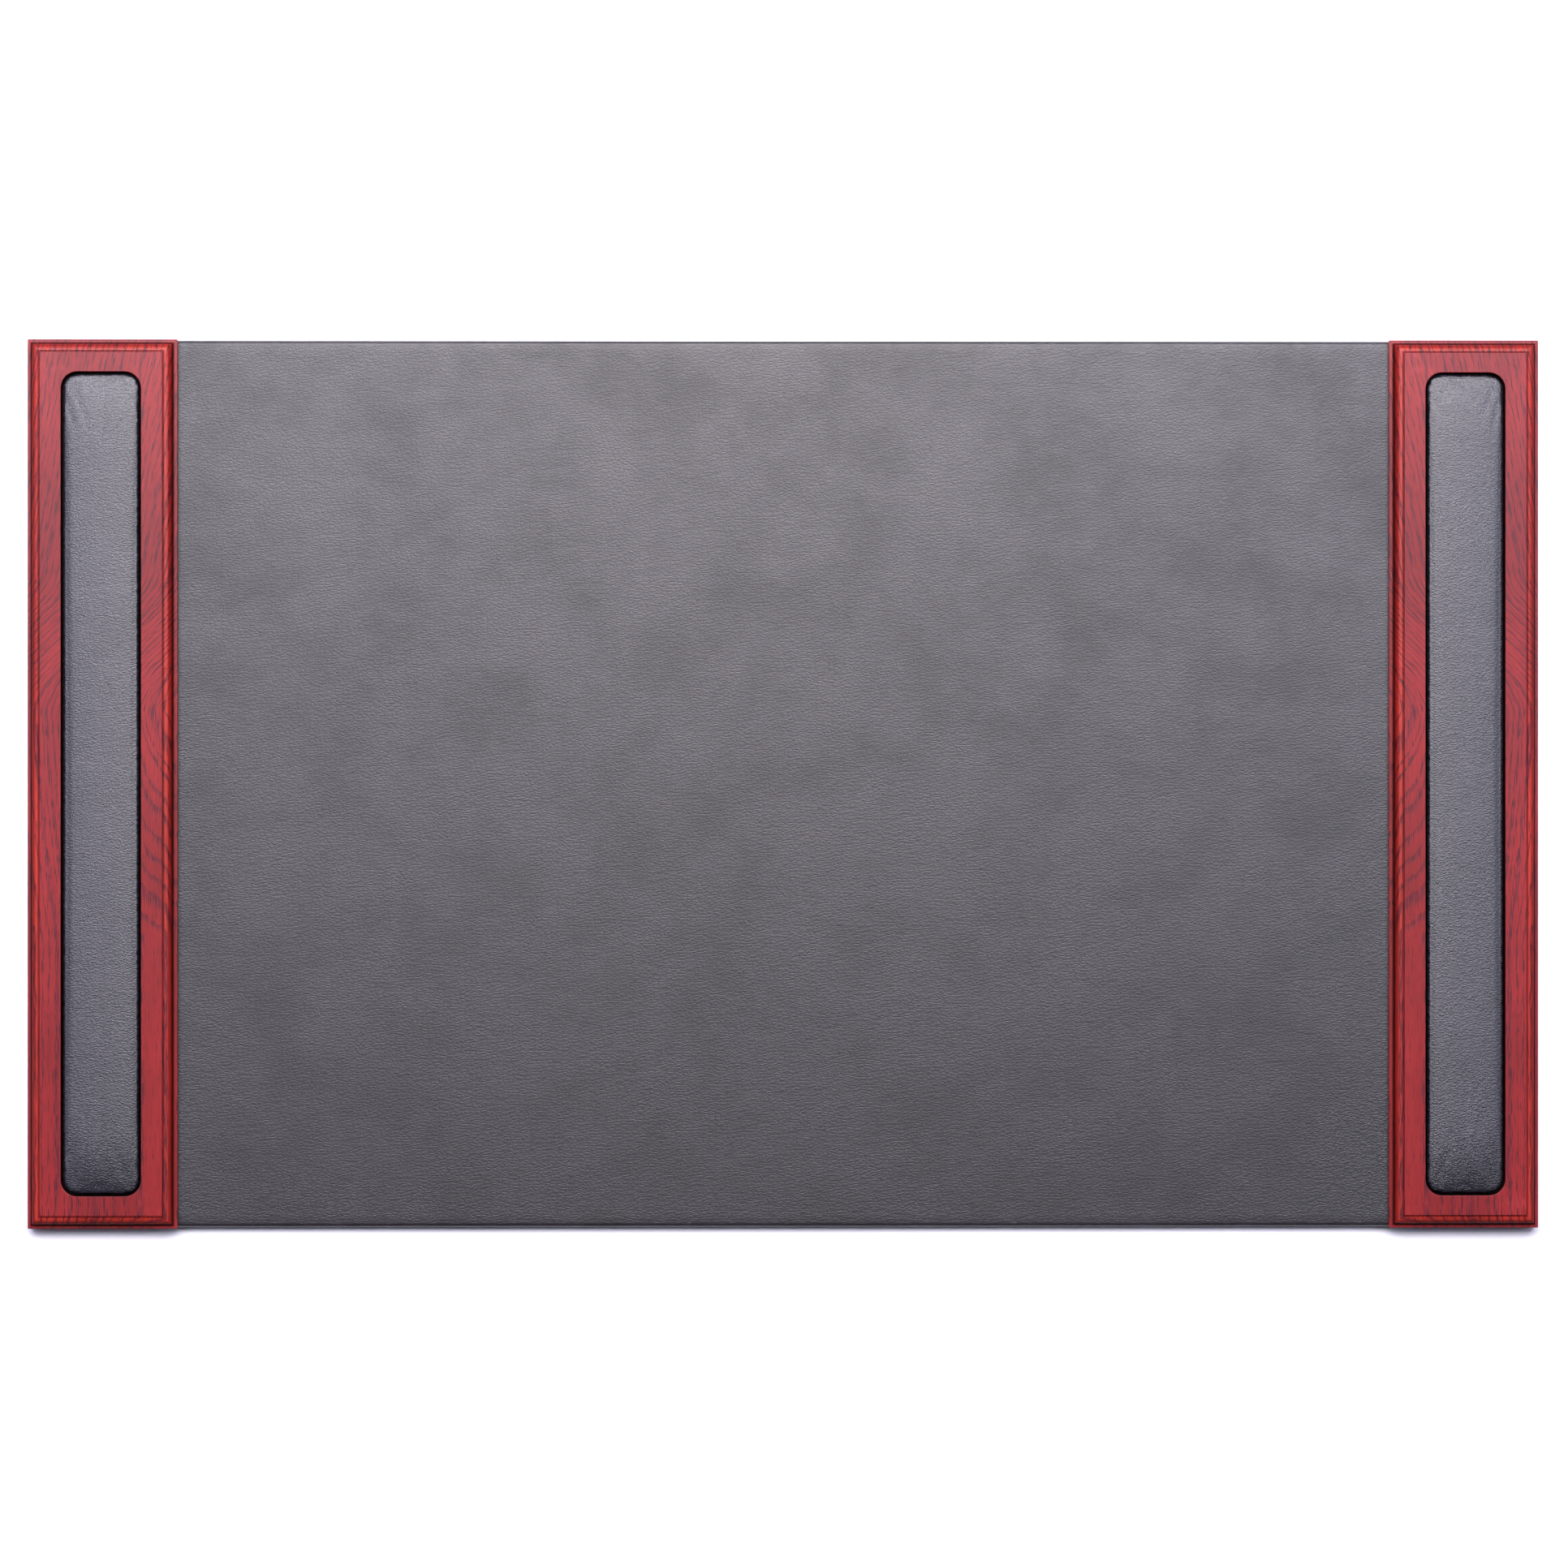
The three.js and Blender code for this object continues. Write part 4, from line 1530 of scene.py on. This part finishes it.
class DESKMAT_OT_stage(bpy.types.Operator):
    """Make the floor, the camera and the soft light"""

    bl_idname = "desk_mat.stage"
    bl_label = "Make Stage"

    def execute(self, context):
        settings = context.scene.desk_mat_stage
        scene = context.scene
        reach = FLOOR_REACH
        corners = [(-reach, -reach, 0), (reach, -reach, 0), (reach, reach, 0), (-reach, reach, 0)]
        floor = add_object("floor", mesh_from("floor", corners, [(0, 1, 2, 3)]))
        floor.data.materials.append(make_floor(settings))

        rail_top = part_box("left_rail")[1][2]
        camera = bpy.data.cameras.new("camera")
        camera.sensor_width = SENSOR_WIDTH
        drop = settings.camera_height - rail_top
        camera.lens = SENSOR_WIDTH * drop / settings.view_width
        eye = bpy.data.objects.new("camera", camera)
        scene.collection.objects.link(eye)
        eye.location = (-settings.camera_shift, 0, settings.camera_height)
        eye.rotation_euler = (0, -math.atan(settings.camera_shift / drop), 0)
        scene.camera = eye

        world = bpy.data.worlds.new("room")
        world.use_nodes = True
        tree = world.node_tree
        toward = tree.nodes.new("ShaderNodeTexCoord").outputs["Generated"]
        parts = add_node(tree, "ShaderNodeSeparateXYZ", {0: toward}).outputs
        lit = remap(tree, parts["Y"], -0.5, 0.3)
        background = tree.nodes["Background"]
        shade_of = blend_colours(tree, lit, (0.01, 0.01, 0.02), (0.3, 0.29, 0.4))
        tree.links.new(shade_of, background.inputs["Color"])
        background.inputs["Strength"].default_value = ROOM_STRENGTH
        scene.world = world
        scene.view_settings.view_transform = "Standard"

        area_light(
            "soft_box",
            place=(-0.05, 1.38, 2.2),
            target=(-0.05, 1.08, 0),
            size=(1.3, 1.9),
            radiance=13.3,
            tint=(1, 0.935, 0.925),
        )
        for _, sign in SIDES:
            area_light(
                "side_box",
                place=(sign * 1.36, 1.43, 2.2),
                target=(sign, 1.1, 0),
                size=(1.0, 1.9),
                radiance=12,
                tint=(0.82, 0.8, 1),
            )
            area_light(
                "edge_strip",
                place=(sign * 1.62, 0.25, 1.7),
                target=(sign * 0.4, 0, 0),
                size=(0.5, 1.6),
                radiance=5,
                tint=(0.74, 0.77, 1),
            )
        return {"FINISHED"}


# ---- Running ----


class DESKMAT_PT_sidebar(bpy.types.Panel):
    """Lists the pieces in the order they're made, with their settings"""

    bl_label = "Desk Mat"
    bl_space_type = "VIEW_3D"
    bl_region_type = "UI"
    bl_category = "Desk Mat"

    def draw(self, context):
        layout = self.layout
        for operator in OPERATORS:
            layout.operator(operator.bl_idname)
        for name, group in SETTINGS.items():
            box = layout.box()
            for field in group.__annotations__:
                box.prop(getattr(context.scene, name), field)


OPERATORS = (
    DESKMAT_OT_stage,
    DESKMAT_OT_rails,
    DESKMAT_OT_panel,
    DESKMAT_OT_felts,
    DESKMAT_OT_pads,
    DESKMAT_OT_screws,
)
CLASSES = (*SETTINGS.values(), *OPERATORS, DESKMAT_PT_sidebar)


def register():
    for cls in CLASSES:
        bpy.utils.register_class(cls)
    for name, group in SETTINGS.items():
        setattr(bpy.types.Scene, name, PointerProperty(type=group))


def unregister():
    for name in SETTINGS:
        delattr(bpy.types.Scene, name)
    for cls in reversed(CLASSES):
        bpy.utils.unregister_class(cls)


def main():
    register()
    bpy.ops.desk_mat.stage()
    bpy.ops.desk_mat.rails()
    bpy.ops.desk_mat.panel()
    bpy.ops.desk_mat.felts()
    bpy.ops.desk_mat.pads()
    bpy.ops.desk_mat.screws()


if __name__ == "__main__":
    main()
